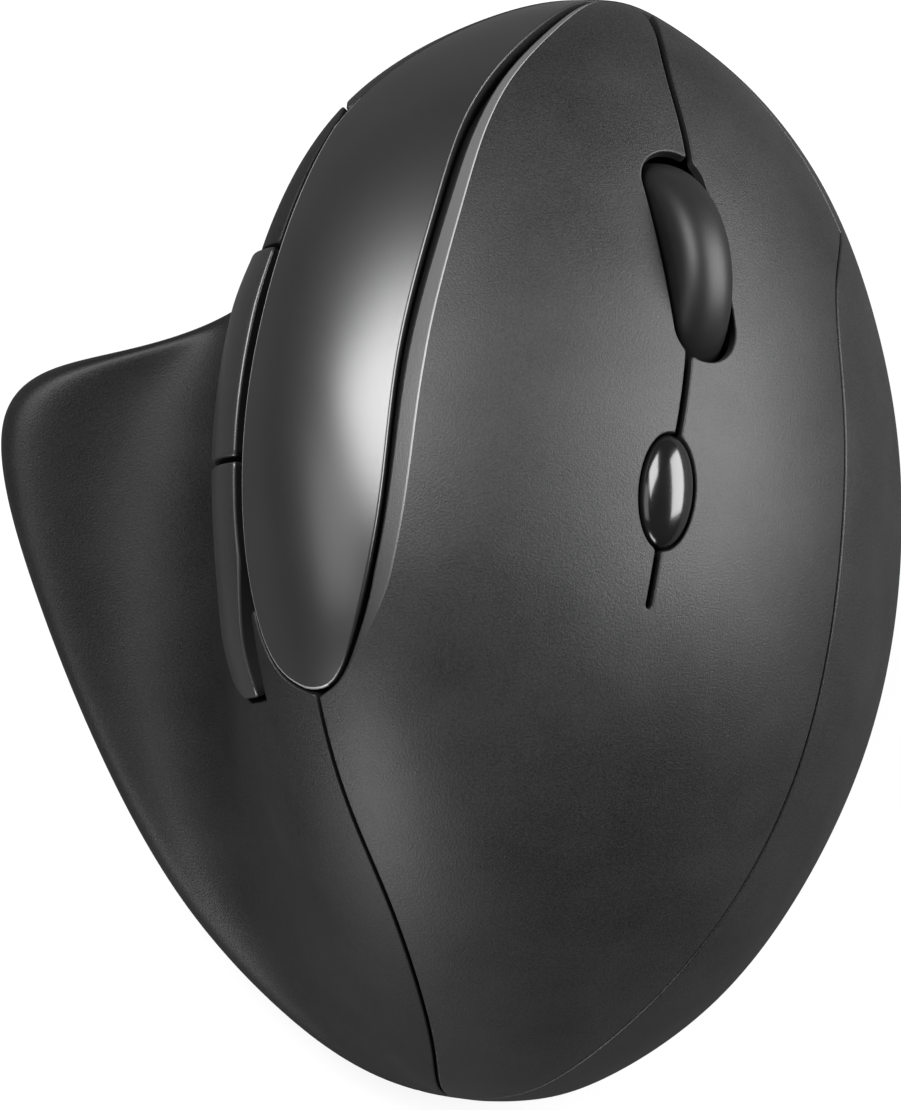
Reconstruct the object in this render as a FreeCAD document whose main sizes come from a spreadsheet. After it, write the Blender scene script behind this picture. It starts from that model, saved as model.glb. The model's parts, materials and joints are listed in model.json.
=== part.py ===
import FreeCAD, Part
import math
import os
import Sketcher

# Right-handed ergonomic mouse, with a sloped palm, a wing under the thumb, two keys and a scroll wheel.
# Millimetres. X is to the right, Y is towards the fingers, Z is up from the desk.

V = FreeCAD.Vector
doc = FreeCAD.newDocument("ErgonomicMouse")
sheet = doc.addObject("Spreadsheet::Sheet", "Sizes")
sheet_rows = []


def size(alias, value, note):
    """Writes one named size in the sheet."""
    sheet_rows.append(alias)
    row = len(sheet_rows)
    sheet.set("A%d" % row, note)
    sheet.set("B%d" % row, str(value))
    sheet.setAlias("B%d" % row, alias)


# Driving sizes of the whole mouse
size("mouse_length", 116.8, "back to front")
size("mouse_width", 95.6, "wing to little-finger side")
size("mouse_height", 63.9, "desk to the highest point of the palm")
size("wall", 2.2, "wall of every moulded cover")
size("floor_thickness", 2.0, "floor of the bottom case")
size("foot_height", 0.6, "gap under the bottom case")
size("seam_gap", 0.3, "thin seam between two covers")
size("ridge_gap", 1.1, "open groove between the accent panel and the left key")
size("bevel_width", 1.6, "lowered band along the ridge groove")
size("bevel_drop", 0.45, "depth of that band")
size("seat_thickness", 1.5, "seat moulded under the accent panel")
size("seat_lap", 2.5, "seat reaching under the thumb shell's edge")
size("key_slit", 0.75, "slit between the two keys")
size("key_drop_gap", 1.3, "gap under the front edge of the keys")
size("flex_gap", 0.3, "line where a key bends off the palm cover")
size("door_lip", 1.4, "ledge that the battery door closes against")
size("run_gap", 0.35, "clearance round a piece that moves")
size("fit_gap", 0.1, "clearance between two pieces that are pressed or screwed together")

# Scroll wheel and what carries it
size("wheel_radius", 12.5, "outside of the rubber tyre")
size("wheel_thickness", 6.0, "width of the tyre")
size("wheel_proud", 4.0, "how far the tyre stands out of the keys")
size("tyre_thickness", 2.4, "rubber, measured along the radius")
size("wheel_slot_gap", 0.7, "gap between the slot and the side of the tyre")
size("wheel_slot_ends", 2.5, "gap between the slot's ends and the tread")
size("axle_radius", 1.25, "moulded axle of the hub")
size("bearing_block", 4.6, "side of the sliding bearing block")
size("bearing_width", 2.6, "bearing block along the axle")
size("bearing_centre", 7.6, "middle of the wheel to the middle of a block")
size("axle_gap", 0.06, "clearance of the axle in its blocks")
size("guide_thickness", 2.0, "guide posts beside the bearing blocks")
size("tyre_crown", 1.1, "how far the tread is rounded off at its edges")
size("hub_web", 1.6, "web between the hub's boss and its rim")
size("hub_rim", 1.8, "rim and boss of the hub, measured along the radius")
size("hub_hole_radius", 1.7, "holes through the web")
size("guide_gap", 0.3, "clearance of a bearing block between its posts")
size("notch_gap", 1.4, "clearance of the tyre in the tilted board and the deck")
size("encoder_width", 4.0, "scroll encoder along the axle")
size("encoder_gap", 1.4, "left block to the encoder")
size("encoder_side", 9.0, "scroll encoder above the board and along it")
size("click_travel", 0.5, "middle click")

# Buttons
size("button_proud", 1.3, "thumb buttons above the skin")
size("oval_width", 5.8, "oval button across")
size("oval_length", 11.4, "oval button along")
size("oval_gap", 0.45, "dark ring round the oval button")

# Boards and switches
size("board_thickness", 1.2, "every circuit board")
size("key_board_depth", 14.8, "skin of the keys to the tilted board")
size("key_board_width", 32.0, "tilted board across")
size("key_board_length", 48.0, "tilted board along")
size("deck_thickness", 2.0, "inner deck under the tilted board")
size("standoff", 0.6, "height of the pads under a board")
size("micro_length", 12.8, "key switch along")
size("micro_width", 5.8, "key switch across")
size("micro_height", 6.4, "key switch above its board")
size("plunger_radius", 0.9, "plunger of every switch")
size("plunger_rise", 0.9, "plunger above its switch")
size("tact_side", 4.5, "side of a small square switch")
size("tact_height", 2.4, "small square switch above its board")
size("board_height", 4.0, "main board above the floor")
size("leg_radius", 3.0, "legs and screw posts")
size("boss_height", 2.0, "seat of each leg above the floor")
size("screw_radius", 1.1, "thread of the case screws")
size("screw_head_radius", 2.3, "head of the case screws")
size("screw_head_height", 1.2, "head of the case screws")

# Power
size("cell_radius", 7.25, "AA cell")
size("cell_length", 50.0, "AA cell")
size("door_thickness", 1.3, "battery door")
size("contact_width", 9.0, "contact plates across")
size("contact_height", 8.0, "contact plates upright")
size("contact_thickness", 0.4, "contact plates")
size("groove_pitch", 2.2, "grip grooves of the door")
size("groove_width", 1.0, "grip grooves of the door")
size("groove_depth", 0.4, "grip grooves of the door")
size("knob_travel", 2.4, "power switch")
size("knob_side", 2.4, "knob of the power switch")
size("foot_width", 7.0, "glide feet")
size("board_screw_radius", 0.8, "thread of the board screws")
size("board_head_radius", 1.5, "head of the board screws")
size("board_head_height", 0.8, "head of the board screws")

# Sensor, lens and controller
size("sensor_width", 9.0, "optical sensor across")
size("sensor_length", 11.0, "optical sensor along")
size("sensor_height", 2.6, "optical sensor above its board")
size("chip_side", 7.0, "controller chip")
size("chip_height", 1.0, "controller chip above its board")
size("lens_width", 11.0, "lens plate across")
size("lens_length", 9.0, "lens plate along")
size("lens_nose_radius", 2.4, "lens nose in the floor's window")
size("light_hole_radius", 2.6, "hole in the main board over the lens")

doc.recompute()


def val(alias):
    """Reads one named size."""
    return float(sheet.get(alias))


# The skin was drawn at these overall sizes, and its guides stretch with the driving sizes.
DRAWN_LENGTH = 116.8
DRAWN_WIDTH = 95.64
DRAWN_HEIGHT = 63.94
STRETCH_X = val("mouse_width") / DRAWN_WIDTH
STRETCH_Y = val("mouse_length") / DRAWN_LENGTH
STRETCH_Z = val("mouse_height") / DRAWN_HEIGHT
CENTRE_X = -0.2
CENTRE_Y = -0.2


def drawn(x, y, z=0.0):
    """Takes a point as it was drawn to its place on the stretched mouse."""
    return V((x - CENTRE_X) * STRETCH_X, (y - CENTRE_Y) * STRETCH_Y, z * STRETCH_Z)


# Guides of the skin. Each list has one entry for each row, from the back of the mouse to the front.
ROW_Y = [-58.6, -57.0, -49.0, -37.0, -21.0, -5.0, 11.0, 25.0, 38.0, 49.0, 56.0, 58.2]
# Top line of the palm, x and z
CREST = [(6.0, 9.0), (5.5, 18.0), (3.5, 33.0), (1.0, 48.0), (-2.0, 60.0), (-3.5, 65.5),
         (-2.5, 64.0), (0.5, 59.5), (4.0, 52.5), (9.0, 44.0), (14.0, 34.5), (15.0, 27.0)]
# Widest line on the little-finger side, x and z
RIGHT = [(10.0, 4.0), (16.0, 6.0), (28.5, 10.0), (37.8, 13.0), (45.6, 15.0), (48.8, 16.0),
         (48.9, 17.0), (46.0, 18.0), (41.2, 19.0), (33.0, 20.0), (23.0, 21.0), (18.0, 22.0)]
# Top of the thumb wall, x and z
STRIP = [(2.0, 7.0), (-4.0, 13.0), (-10.0, 22.0), (-16.0, 32.0), (-21.0, 41.0), (-23.5, 44.0),
         (-24.8, 45.0), (-23.0, 44.0), (-19.3, 41.5), (-12.3, 36.5), (0.5, 30.0), (10.5, 25.0)]
# The lines below run down the thumb wall and out over the wing. Each entry is x, y and z.
WALL = [(1.5, -58.6, 6.0), (-5.5, -57.0, 10.5), (-12.5, -49.0, 16.0), (-19.0, -37.0, 22.0),
        (-22.5, -21.0, 27.0), (-22.0, -5.0, 30.0), (-21.0, 10.0, 31.0), (-19.0, 22.0, 31.0),
        (-16.0, 34.0, 30.0), (-10.0, 46.0, 28.0), (1.5, 54.5, 25.0), (11.0, 58.2, 24.0)]
SCOOP = [(1.0, -58.6, 5.0), (-6.5, -57.0, 8.0), (-15.0, -49.0, 10.5), (-22.5, -37.0, 13.5),
         (-26.5, -21.0, 15.5), (-26.0, -5.0, 16.0), (-25.0, 9.5, 16.5), (-22.5, 20.5, 18.0),
         (-17.5, 30.0, 21.0), (-10.5, 43.0, 21.0), (1.5, 53.5, 20.0), (11.0, 58.2, 21.0)]
DISH = [(0.8, -58.6, 4.5), (-7.0, -57.0, 6.5), (-17.0, -49.0, 8.0), (-26.5, -37.0, 9.5),
        (-32.5, -21.0, 10.5), (-35.5, -5.0, 11.0), (-36.5, 10.0, 12.0), (-31.5, 20.0, 13.5),
        (-19.5, 25.0, 17.0), (-11.5, 39.0, 15.0), (2.0, 53.0, 15.0), (12.0, 58.2, 17.0)]
LIP = [(0.5, -58.6, 4.0), (-8.0, -57.0, 5.5), (-18.5, -49.0, 7.0), (-28.8, -37.0, 9.0),
       (-37.0, -21.0, 11.5), (-43.0, -5.0, 13.5), (-47.2, 11.0, 15.0), (-44.0, 20.0, 16.0),
       (-23.0, 23.5, 15.0), (-11.5, 37.5, 10.0), (3.0, 52.5, 10.0), (12.0, 58.2, 13.0)]
EDGE = [(0.2, -58.6, 3.0), (-8.5, -57.0, 3.5), (-19.5, -49.0, 4.0), (-30.5, -37.0, 5.5),
        (-38.8, -21.0, 8.0), (-45.2, -5.0, 10.0), (-50.6, 12.0, 11.0), (-46.8, 21.2, 11.5),
        (-22.5, 22.0, 9.0), (-11.5, 36.0, 6.0), (2.5, 52.0, 6.0), (12.0, 58.2, 9.0)]
BELOW_DESK = -7.0
CAP_BOTTOM = -1.0
LEFT_ANGLES = (30.0, 62.0)
RIGHT_ANGLES = (20.0, 40.0, 58.0, 75.0)
TUCK = 0.93


def section(row):
    """Control points of one row, once round the mouse from the crest over the thumb side."""
    y = ROW_Y[row]
    crest_x, crest_z = CREST[row]
    right_x, right_z = RIGHT[row]
    strip_x, strip_z = STRIP[row]
    wall_y = WALL[row][1]
    edge_x, edge_y, _ = EDGE[row]
    bottom = CAP_BOTTOM if row in (0, len(ROW_Y) - 1) else BELOW_DESK
    points = [(crest_x, y, crest_z)]
    for angle in LEFT_ANGLES:
        across = math.sin(math.radians(angle))
        up = math.cos(math.radians(angle))
        points.append((crest_x + (strip_x - crest_x) * across, y + (wall_y - y) * 0.5 * (1 - up),
                       strip_z + (crest_z - strip_z) * up))
    points.append((strip_x, (y + wall_y) / 2, strip_z))
    points += [WALL[row], SCOOP[row], DISH[row], LIP[row], EDGE[row]]
    left_foot = crest_x + (edge_x - crest_x) * TUCK
    right_foot = crest_x + (right_x - crest_x) * TUCK
    points.append((left_foot, edge_y * 0.98, bottom / 2))
    points.append(((left_foot + crest_x) / 2, edge_y * 0.98, bottom))
    points.append((crest_x, y * 0.97, bottom))
    points.append((crest_x + (right_foot - crest_x) * 0.55, y * 0.97, bottom))
    points.append((right_foot, y * 0.98, bottom / 2))
    points.append((right_x, y, right_z * 0.62))
    for angle in RIGHT_ANGLES:
        across = math.cos(math.radians(angle))
        up = math.sin(math.radians(angle))
        points.append((crest_x + (right_x - crest_x) * across, y, right_z + (crest_z - right_z) * up))
    return [drawn(*p) for p in points]


def surface_through(net):
    """Smooth closed surface of a control net: rows run back to front, each row once round."""
    across = len(net[0])
    along = len(net)
    poles = [[net[j][i] for j in range(along)] for i in range(across)]
    surface = Part.BSplineSurface()
    surface.buildFromPolesMultsKnots(
        poles, [1] * (across + 1), [4] + [1] * (along - 4) + [4],
        [float(i) for i in range(across + 1)], [float(j) for j in range(along - 2)], True, False, 3, 3)
    return surface


rows = [section(row) for row in range(len(ROW_Y))]
AROUND = len(rows[0])
tip_back = V(sum(p.x for p in rows[0]) / AROUND, rows[0][0].y, sum(p.z for p in rows[0]) / AROUND)
tip_front = V(sum(p.x for p in rows[-1]) / AROUND, rows[-1][0].y, sum(p.z for p in rows[-1]) / AROUND)
skin_net = [[tip_back] * AROUND] + rows + [[tip_front] * AROUND]
skin_surface = surface_through(skin_net)
SPANS = len(skin_net) - 3
row_knots = [0] * 4 + list(range(1, SPANS)) + [SPANS] * 4


def inward(i, j):
    """Unit vector into the mouse, at the place on the skin that control point i of row j pulls most."""
    if j == 0:
        return V(0, 1, 0)
    if j == len(skin_net) - 1:
        return V(0, -1, 0)
    along = sum(row_knots[j + 1:j + 4]) / 3.0
    return skin_surface.normal((i - 1) % AROUND, along)


inward_net = [[inward(i, j) for i in range(AROUND)] for j in range(len(skin_net))]


def form(inset):
    """Closed solid of the whole mouse, its skin moved inwards by the inset."""
    net = [[p + d * inset for p, d in zip(row, way)] for row, way in zip(skin_net, inward_net)]
    solid = Part.Solid(Part.Shell([surface_through(net).toShape()]))
    if solid.Volume < 0:
        solid.reverse()
    return solid


FAR = 300.0
PAST = 1.0


def slab(z_low, z_high):
    """Everything between two heights."""
    return Part.makeBox(2 * FAR, 2 * FAR, z_high - z_low, V(-FAR, -FAR, z_low))


def block(low, high):
    """Box between two corners."""
    return Part.makeBox(high.x - low.x, high.y - low.y, high.z - low.z, low)


def top_point(x, y):
    """Point of the skin straight above a drawn x and y."""
    at = drawn(x, y)
    line = Part.makeLine(V(at.x, at.y, 1), V(at.x, at.y, FAR))
    inside = line.common(form_outer)
    return V(at.x, at.y, inside.BoundBox.ZMax)


def outward(point):
    """Unit normal of the skin at a point on it, pointing out of the mouse."""
    return skin_surface.normal(*skin_surface.parameter(point)) * -1


form_outer = form(0.0)
wall = val("wall")
form_inner = form(wall)
form_half = form(wall / 2)
z_base = val("foot_height")
z_floor = z_base + val("floor_thickness")
outer = form_outer.common(slab(z_base, FAR))
cavity = form_inner.common(slab(z_floor, FAR))
shell = outer.cut(cavity)

# Seams, as drawn plan points on the skin. The groove between the panel and the left key, front to back.
RIDGE = [(12.9, 57.1), (4.9, 49.5), (-0.7, 36.8), (-4.9, 20.8), (-7.1, 4.5), (-9.4, -7.6), (-13.6, -14.4)]
# The seam behind the panel, between the thumb shell and the palm cover.
BACK_SEAM = [(-13.6, -14.4), (-11.0, -24.3), (-6.7, -35.2), (-3.7, -44.3), (-1.9, -52.9), (-1.2, -57.0)]
# The free edge of the panel, from its lower tip up the thumb side.
PANEL_EDGE = [(-13.6, -14.4), (-17.2, -12.4), (-20.3, -5.1), (-21.5, 8.0), (-18.9, 26.9), (-15.4, 37.6),
              (-10.8, 45.9)]
# The seam on the little-finger side, from its notch to the back.
RIGHT_SEAM = [(40.7, 34.5), (39.8, 27.0), (40.4, 14.0), (40.1, 2.0), (38.2, -12.5), (35.0, -24.2),
              (29.4, -35.7), (21.8, -45.8), (13.6, -53.5), (7.0, -57.4)]
# The slit between the keys.
SLIT = [(22.6, 50.2), (24.1, 42.0), (24.4, 30.0), (23.5, 16.0), (21.8, 6.5), (19.8, -5.2)]
HINGE_Y = -5.0
NOSE_X = 13.0
NOSE_Z = 24.5
LEDGE_X = -11.0
LEDGE_Z = 40.0
NOSE_BACK_Y = 31.0
WHEEL_XY = (24.4, 30.5)
OVAL_XY = (21.7, 6.2)


def mean_outward(points):
    """Mean direction that the skin faces along a seam."""
    total = V(0, 0, 0)
    for p in points:
        total += outward(p)
    return total.normalize()


class Screen:
    """Flat plane square to a direction, on which a seam is drawn before it is cut through the wall."""

    def __init__(self, direction):
        self.out = V(direction).normalize()
        self.up = (V(0, 1, 0) - self.out * self.out.y).normalize()
        self.side = self.up.cross(self.out)

    def flat(self, p):
        return self.side * p.dot(self.side) + self.up * p.dot(self.up)

    def shifted(self, points, gap):
        """The seam moved sideways by the gap, to the left of its run."""
        flats = [self.flat(p) for p in points]
        moved = []
        for i, p in enumerate(flats):
            run = flats[min(i + 1, len(flats) - 1)] - flats[max(i - 1, 0)]
            moved.append(p + self.out.cross(run).normalize() * gap)
        return moved

    def prism(self, curves, outside, depth):
        """Solid on one side of the curves, closed round the outside points, from a depth outwards."""
        edges = []
        for points in curves:
            curve = Part.BSplineCurve()
            curve.interpolate(points)
            edges.append(curve.toShape())
        end = edges[-1].Vertexes[-1].Point
        for p in [self.flat(q) for q in outside] + [edges[0].Vertexes[0].Point]:
            edges.append(Part.makeLine(end, p))
            end = p
        face = Part.Face(Part.Wire(edges))
        face.translate(self.out * depth)
        return face.extrude(self.out * FAR)


def joined(first, second):
    """Two runs of points whose meeting ends are drawn to one corner."""
    corner = (first[-1] + second[0]) * 0.5
    return [first[:-1] + [corner], [corner] + second[1:]]


ridge = [top_point(x, y) for x, y in RIDGE]
back_seam = [top_point(x, y) for x, y in BACK_SEAM]
panel_edge = [top_point(x, y) for x, y in PANEL_EDGE]
right_seam = [top_point(x, y) for x, y in RIGHT_SEAM]
slit = [top_point(x, y) for x, y in SLIT]
ridge_run = [ridge[0] + (ridge[0] - ridge[1]) * 2] + ridge

left_screen = Screen(mean_outward(ridge + back_seam[:-1]))
panel_screen = Screen(mean_outward(ridge[1:] + panel_edge[1:-1]))
right_screen = Screen(mean_outward(right_seam[1:-1]))
PANEL_REACH = 8.0
FINGER_REACH = 20.0


def thumb_side(groove, seam):
    """Everything on the thumb side of the ridge groove and the back seam, grown by a gap at each."""
    back_run = back_seam + [back_seam[-1] + V(1, -12, -8)]
    curves = joined(left_screen.shifted(ridge_run, groove), left_screen.shifted(back_run, seam))
    return left_screen.prism(curves, [V(-FAR, -FAR / 2, 0), V(-FAR, FAR / 2, 0), V(0, FAR / 2, 0)], -FAR / 2)


def panel_side(groove, edge):
    """Everything inside the panel's outline, grown by a gap at its groove and at its edge."""
    edge_run = panel_edge + [panel_edge[-1] + (panel_edge[-1] - panel_edge[-2])]
    curves = joined(panel_screen.shifted(ridge_run, groove), panel_screen.shifted(edge_run, edge))
    depth = min(p.dot(panel_screen.out) for p in ridge + panel_edge) - PANEL_REACH
    return panel_screen.prism(curves, [panel_edge[-1] + V(0, 60, 0)], depth)


def finger_side(seam):
    """Everything outside the seam on the little-finger side, grown by the gap."""
    start = right_seam[0]
    curve = right_screen.shifted(right_seam + [right_seam[-1] + V(-10, -3, -8)], -seam)
    depth = min(p.dot(right_screen.out) for p in right_seam) - FINGER_REACH
    outside = [V(0, -FAR, -FAR), V(FAR, -FAR, -FAR), V(FAR, start.y, start.z - FAR), start + V(10, 1, -12)]
    return right_screen.prism([curve], outside, depth)


def nose_side(gap):
    """Everything under the front edge of the keys and of the panel, grown by the gap."""
    top = NOSE_Z * STRETCH_Z + gap
    nose = drawn(NOSE_X, 0).x
    ledge = drawn(LEDGE_X, 0).x - gap
    ledge_top = LEDGE_Z * STRETCH_Z + gap
    y = drawn(0, NOSE_BACK_Y).y - gap
    outline = [V(FAR, y, -FAR), V(FAR, y, top), V(nose, y, top), V(ledge, y, ledge_top), V(ledge, y, -FAR)]
    return Part.Face(Part.makePolygon(outline + outline[:1])).extrude(V(0, FAR, 0))


class Frame:
    """Local frame that stands on the skin: x to the right, y to the front, z out of the mouse."""

    def __init__(self, at):
        self.origin = at
        self.z = outward(at)
        self.y = (V(0, 1, 0) - self.z * self.z.y).normalize()
        self.x = self.y.cross(self.z)

    def place(self, x=0.0, y=0.0, z=0.0):
        """Placement of a local point, with the frame's own axes."""
        return FreeCAD.Placement(self.point(x, y, z), FreeCAD.Rotation(self.x, self.y, self.z, "ZXY"))

    def point(self, x, y, z):
        return self.origin + self.x * x + self.y * y + self.z * z

    def put(self, shape):
        """A shape drawn in the local frame, taken to its place."""
        shape.Placement = self.place() * shape.Placement
        return shape


key_frame = Frame(top_point(*WHEEL_XY))
oval_frame = Frame(top_point(*OVAL_XY))

seam_gap = val("seam_gap")
half_seam = seam_gap / 2
half_groove = val("ridge_gap") / 2
run_gap = val("run_gap")
fit_gap = val("fit_gap")
half_flex = val("flex_gap") / 2


def add(label, shape, placement=None):
    """Adds a moulded piece to the document under its own name."""
    feature = doc.addObject("Part::Feature", label)
    feature.Label = label
    feature.Shape = shape
    if placement:
        feature.Placement = placement
    return feature


def one(shape):
    """The single solid of a boolean result."""
    solids = sorted(shape.Solids, key=lambda solid: -solid.Volume)
    return solids[0]


# Openings of the skin
nose = nose_side(0)
fingers = finger_side(0)
floor_slab = slab(z_base, z_floor)
above_floor = slab(z_floor + seam_gap, FAR)

# The wheel slot has straight sides and round ends, cut square to the skin.
wheel_radius = val("wheel_radius")
wheel_depth = wheel_radius - val("wheel_proud")
half_slot = val("wheel_thickness") / 2 + val("wheel_slot_gap")
half_chord = math.sqrt(wheel_radius ** 2 - wheel_depth ** 2)
slot_reach = half_chord + val("wheel_slot_ends") - half_slot
CUT_REACH = 10.0
slot_corner = V(-half_slot, -slot_reach, -CUT_REACH)
slot_box = Part.makeBox(2 * half_slot, 2 * slot_reach, 2 * CUT_REACH, slot_corner)
slot_ends = []
for y in (-slot_reach, slot_reach):
    slot_ends.append(Part.makeCylinder(half_slot, 2 * CUT_REACH, V(0, y, -CUT_REACH)))
wheel_slot = slot_box.multiFuse(slot_ends)
# The slot is longer below its lip, so that the tyre clears it all round. The lip stays whole where the skin curves away.
SLOT_LIP = 2.4
relief_radius = wheel_radius + 2 * run_gap
relief = Part.makeCylinder(relief_radius, 2 * half_slot, V(-half_slot, 0, -wheel_depth), V(1, 0, 0))
relief = relief.common(Part.makeBox(2 * FAR, 2 * FAR, FAR, V(-FAR, -FAR, -FAR - SLOT_LIP)))
wheel_slot = key_frame.put(wheel_slot.fuse(relief))


def oval_prism(grow, low, high):
    """Upright prism of the oval button's outline, grown by a gap."""
    ellipse = Part.Ellipse(V(0, 0, low), val("oval_length") / 2 + grow, val("oval_width") / 2 + grow)
    face = Part.Face(Part.Wire(ellipse.toShape()))
    face.rotate(V(0, 0, low), V(0, 0, 1), 90)
    return face.extrude(V(0, 0, high - low))


oval_hole = oval_frame.put(oval_prism(val("oval_gap"), -CUT_REACH, CUT_REACH))

# Covers over the palm and the fingers
top_cover = shell.common(above_floor).cut(thumb_side(half_groove, half_seam))
top_cover = top_cover.cut(finger_side(seam_gap)).cut(nose_side(val("key_drop_gap")))
bevel = form_outer.cut(form(val("bevel_drop"))).common(thumb_side(half_groove + val("bevel_width"), -PAST))
top_cover = one(top_cover.cut(bevel))
hinge_y = drawn(0, HINGE_Y).y
palm = one(top_cover.common(block(V(-FAR, -FAR, -FAR), V(FAR, hinge_y - half_flex, FAR))))
fingers_cover = top_cover.common(block(V(-FAR, hinge_y + half_flex, -FAR), V(FAR, FAR, FAR)))
fingers_cover = fingers_cover.cut(wheel_slot).cut(oval_hole)
slit_screen = Screen(key_frame.z)


def slit_side(side):
    """Everything left (side 1) or right (side -1) of the slit between the keys."""
    run = [slit[0] + (slit[0] - slit[1]) * 2] + slit + [slit[-1] + (slit[-1] - slit[-2]) * 2]
    curve = slit_screen.shifted(run, -side * val("key_slit") / 2)
    across = slit_screen.side * side * FAR
    far = [slit[-1] - across, slit[0] - across]
    return slit_screen.prism([curve], far, 0)


left_key = one(fingers_cover.common(slit_side(1)))
right_key = one(fingers_cover.common(slit_side(-1)).cut(finger_side(run_gap + fit_gap)))

# Accent panel and the seat moulded for it in the thumb shell
accent_panel = shell.common(thumb_side(-half_groove, half_seam)).common(panel_side(1, -half_seam))
accent_panel = one(accent_panel.cut(nose_side(seam_gap)))
seat_inset = wall + fit_gap
seat_blank = outer.cut(form(seat_inset + val("seat_thickness")))
seat_blank = seat_blank.common(panel_side(1, val("seat_lap")))
seat_blank = seat_blank.common(thumb_side(half_groove - run_gap, -half_seam))
panel_pocket = panel_side(val("seat_lap"), half_seam).cut(form(seat_inset))
thumb_shell = shell.common(thumb_side(-half_groove, -half_seam)).common(above_floor)
thumb_shell = thumb_shell.fuse(seat_blank).cut(panel_pocket).cut(nose_side(seam_gap))
thumb_shell = thumb_shell.cut(finger_side(seam_gap))
bottom_case = one(outer.common(floor_slab).fuse(shell.common(nose)).fuse(shell.common(fingers)))


def upright(x, y, radius, low, high):
    """Upright cylinder between two heights."""
    return Part.makeCylinder(radius, high - low, V(x, y, low))


def along_x(radius, start, end):
    """Cylinder along X from a point to an x."""
    return Part.makeCylinder(radius, abs(end - start.x), start, V(math.copysign(1, end - start.x), 0, 0))


PLUNGER_IN = 0.9
TOUCH = 0.02

# Places on the tilted key board, in the key frame
board_top = -val("key_board_depth")
board_thickness = val("board_thickness")
deck_top = board_top - board_thickness - val("standoff")
KEY_BOARD_X = -1.0
KEY_BOARD_Y = -3.0
SWITCH_X = 8.0
SWITCH_Y = 12.3
LEGS = ((-17.5, -23.5), (14.5, -23.5), (-13.0, 15.5), (11.0, 15.5))
bearing_x = val("bearing_centre")
half_bearing = val("bearing_block") / 2
half_bearing_width = val("bearing_width") / 2
plunger_radius = val("plunger_radius")
plunger_rise = val("plunger_rise")
micro_top = board_top + val("micro_height")

# Screws come up through the floor into the legs of the deck and into posts under the covers.
leg_radius = val("leg_radius")
screw_radius = val("screw_radius")
boss_top = z_floor + val("boss_height")
leg_tops = [key_frame.point(x, y, deck_top) for x, y in LEGS]
PALM_POST = (12.0, -46.0)
SIDE_POST = (33.0, -10.0)
THUMB_POSTS = ((-27.5, -12.0), (-9.0, -39.0))
palm_posts = [drawn(*PALM_POST), drawn(*SIDE_POST)]
thumb_posts = [drawn(x, y) for x, y in THUMB_POSTS]
screw_places = [V(p.x, p.y, 0) for p in leg_tops + palm_posts + thumb_posts]
SCREW_REACH = 6.0
screw_top = boss_top + SCREW_REACH
head_top = z_base + val("screw_head_height") + fit_gap


def with_posts(cover, places):
    """The cover with hollow posts from the bosses up into its wall."""
    for at in places:
        cover = cover.fuse(upright(at.x, at.y, leg_radius, boss_top, FAR).common(form_half))
    bore_radius = screw_radius + fit_gap / 2
    for at in places:
        cover = cover.cut(upright(at.x, at.y, bore_radius, boss_top - PAST, screw_top + PAST / 2))
    return cover


palm = with_posts(palm, palm_posts)
thumb_shell = with_posts(thumb_shell, thumb_posts)

# Each key has a post that bears on the plunger of its switch.
ACTUATOR_RADIUS = 1.5
actuators = []
for side in (-1, 1):
    tip = V(side * SWITCH_X, SWITCH_Y, micro_top + plunger_rise)
    rod = Part.makeCylinder(ACTUATOR_RADIUS, -micro_top, tip)
    actuators.append(key_frame.put(rod).common(form_half))
left_key = left_key.fuse(actuators[0])
right_key = right_key.fuse(actuators[1])

# Thumb buttons stand proud of the wall, one behind the other, and press towards +X.
FORWARD_OUTLINE = [(8.9, 38.6), (8.9, 47.2), (18.0, 47.0), (27.0, 45.0), (32.0, 42.4), (26.0, 39.8),
                   (17.0, 38.6)]
BACK_OUTLINE = [(8.1, 38.6), (8.1, 47.2), (0.0, 47.8), (-14.6, 48.4), (-15.2, 46.0), (-13.6, 41.4),
                (-3.0, 39.2)]
BUTTON_ROUND = 1.2
BUTTON_BOARD_X = -13.6
FORWARD_SWITCH = (18.5, 42.8)
BACK_SWITCH = (-2.5, 43.2)
proud_skin = form(-val("button_proud"))
button_blank = proud_skin.cut(form_inner)
thumb_limit = drawn(-12.0, 0).x


def button_prism(outline, grow):
    """Prism along X of a thumb button's outline, grown by a gap."""
    corners = [drawn(0, y, z) for y, z in outline]
    corners = [V(thumb_limit, p.y, p.z) for p in corners]
    wire = Part.makePolygon(corners + corners[:1])
    if grow:
        wire = wire.makeOffset2D(grow, 2)
    prism = Part.Face(wire).extrude(V(-40, 0, 0))
    ridges = [e for e in prism.Edges if abs(e.Vertexes[0].X - e.Vertexes[-1].X) > 1]
    return prism.makeFillet(BUTTON_ROUND + grow, ridges)


tact_height = val("tact_height")
tact_face = drawn(BUTTON_BOARD_X, 0).x - tact_height
buttons = []
for outline, (y, z) in ((FORWARD_OUTLINE, FORWARD_SWITCH), (BACK_OUTLINE, BACK_SWITCH)):
    at = drawn(0, y, z)
    cap = one(button_blank.common(button_prism(outline, 0)))
    rod = along_x(ACTUATOR_RADIUS, V(tact_face - plunger_rise, at.y, at.z), thumb_limit - 20)
    buttons.append(one(cap.fuse(rod.common(form_half))))
    thumb_shell = thumb_shell.cut(button_prism(outline, run_gap))
thumb_shell = one(thumb_shell)

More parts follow.
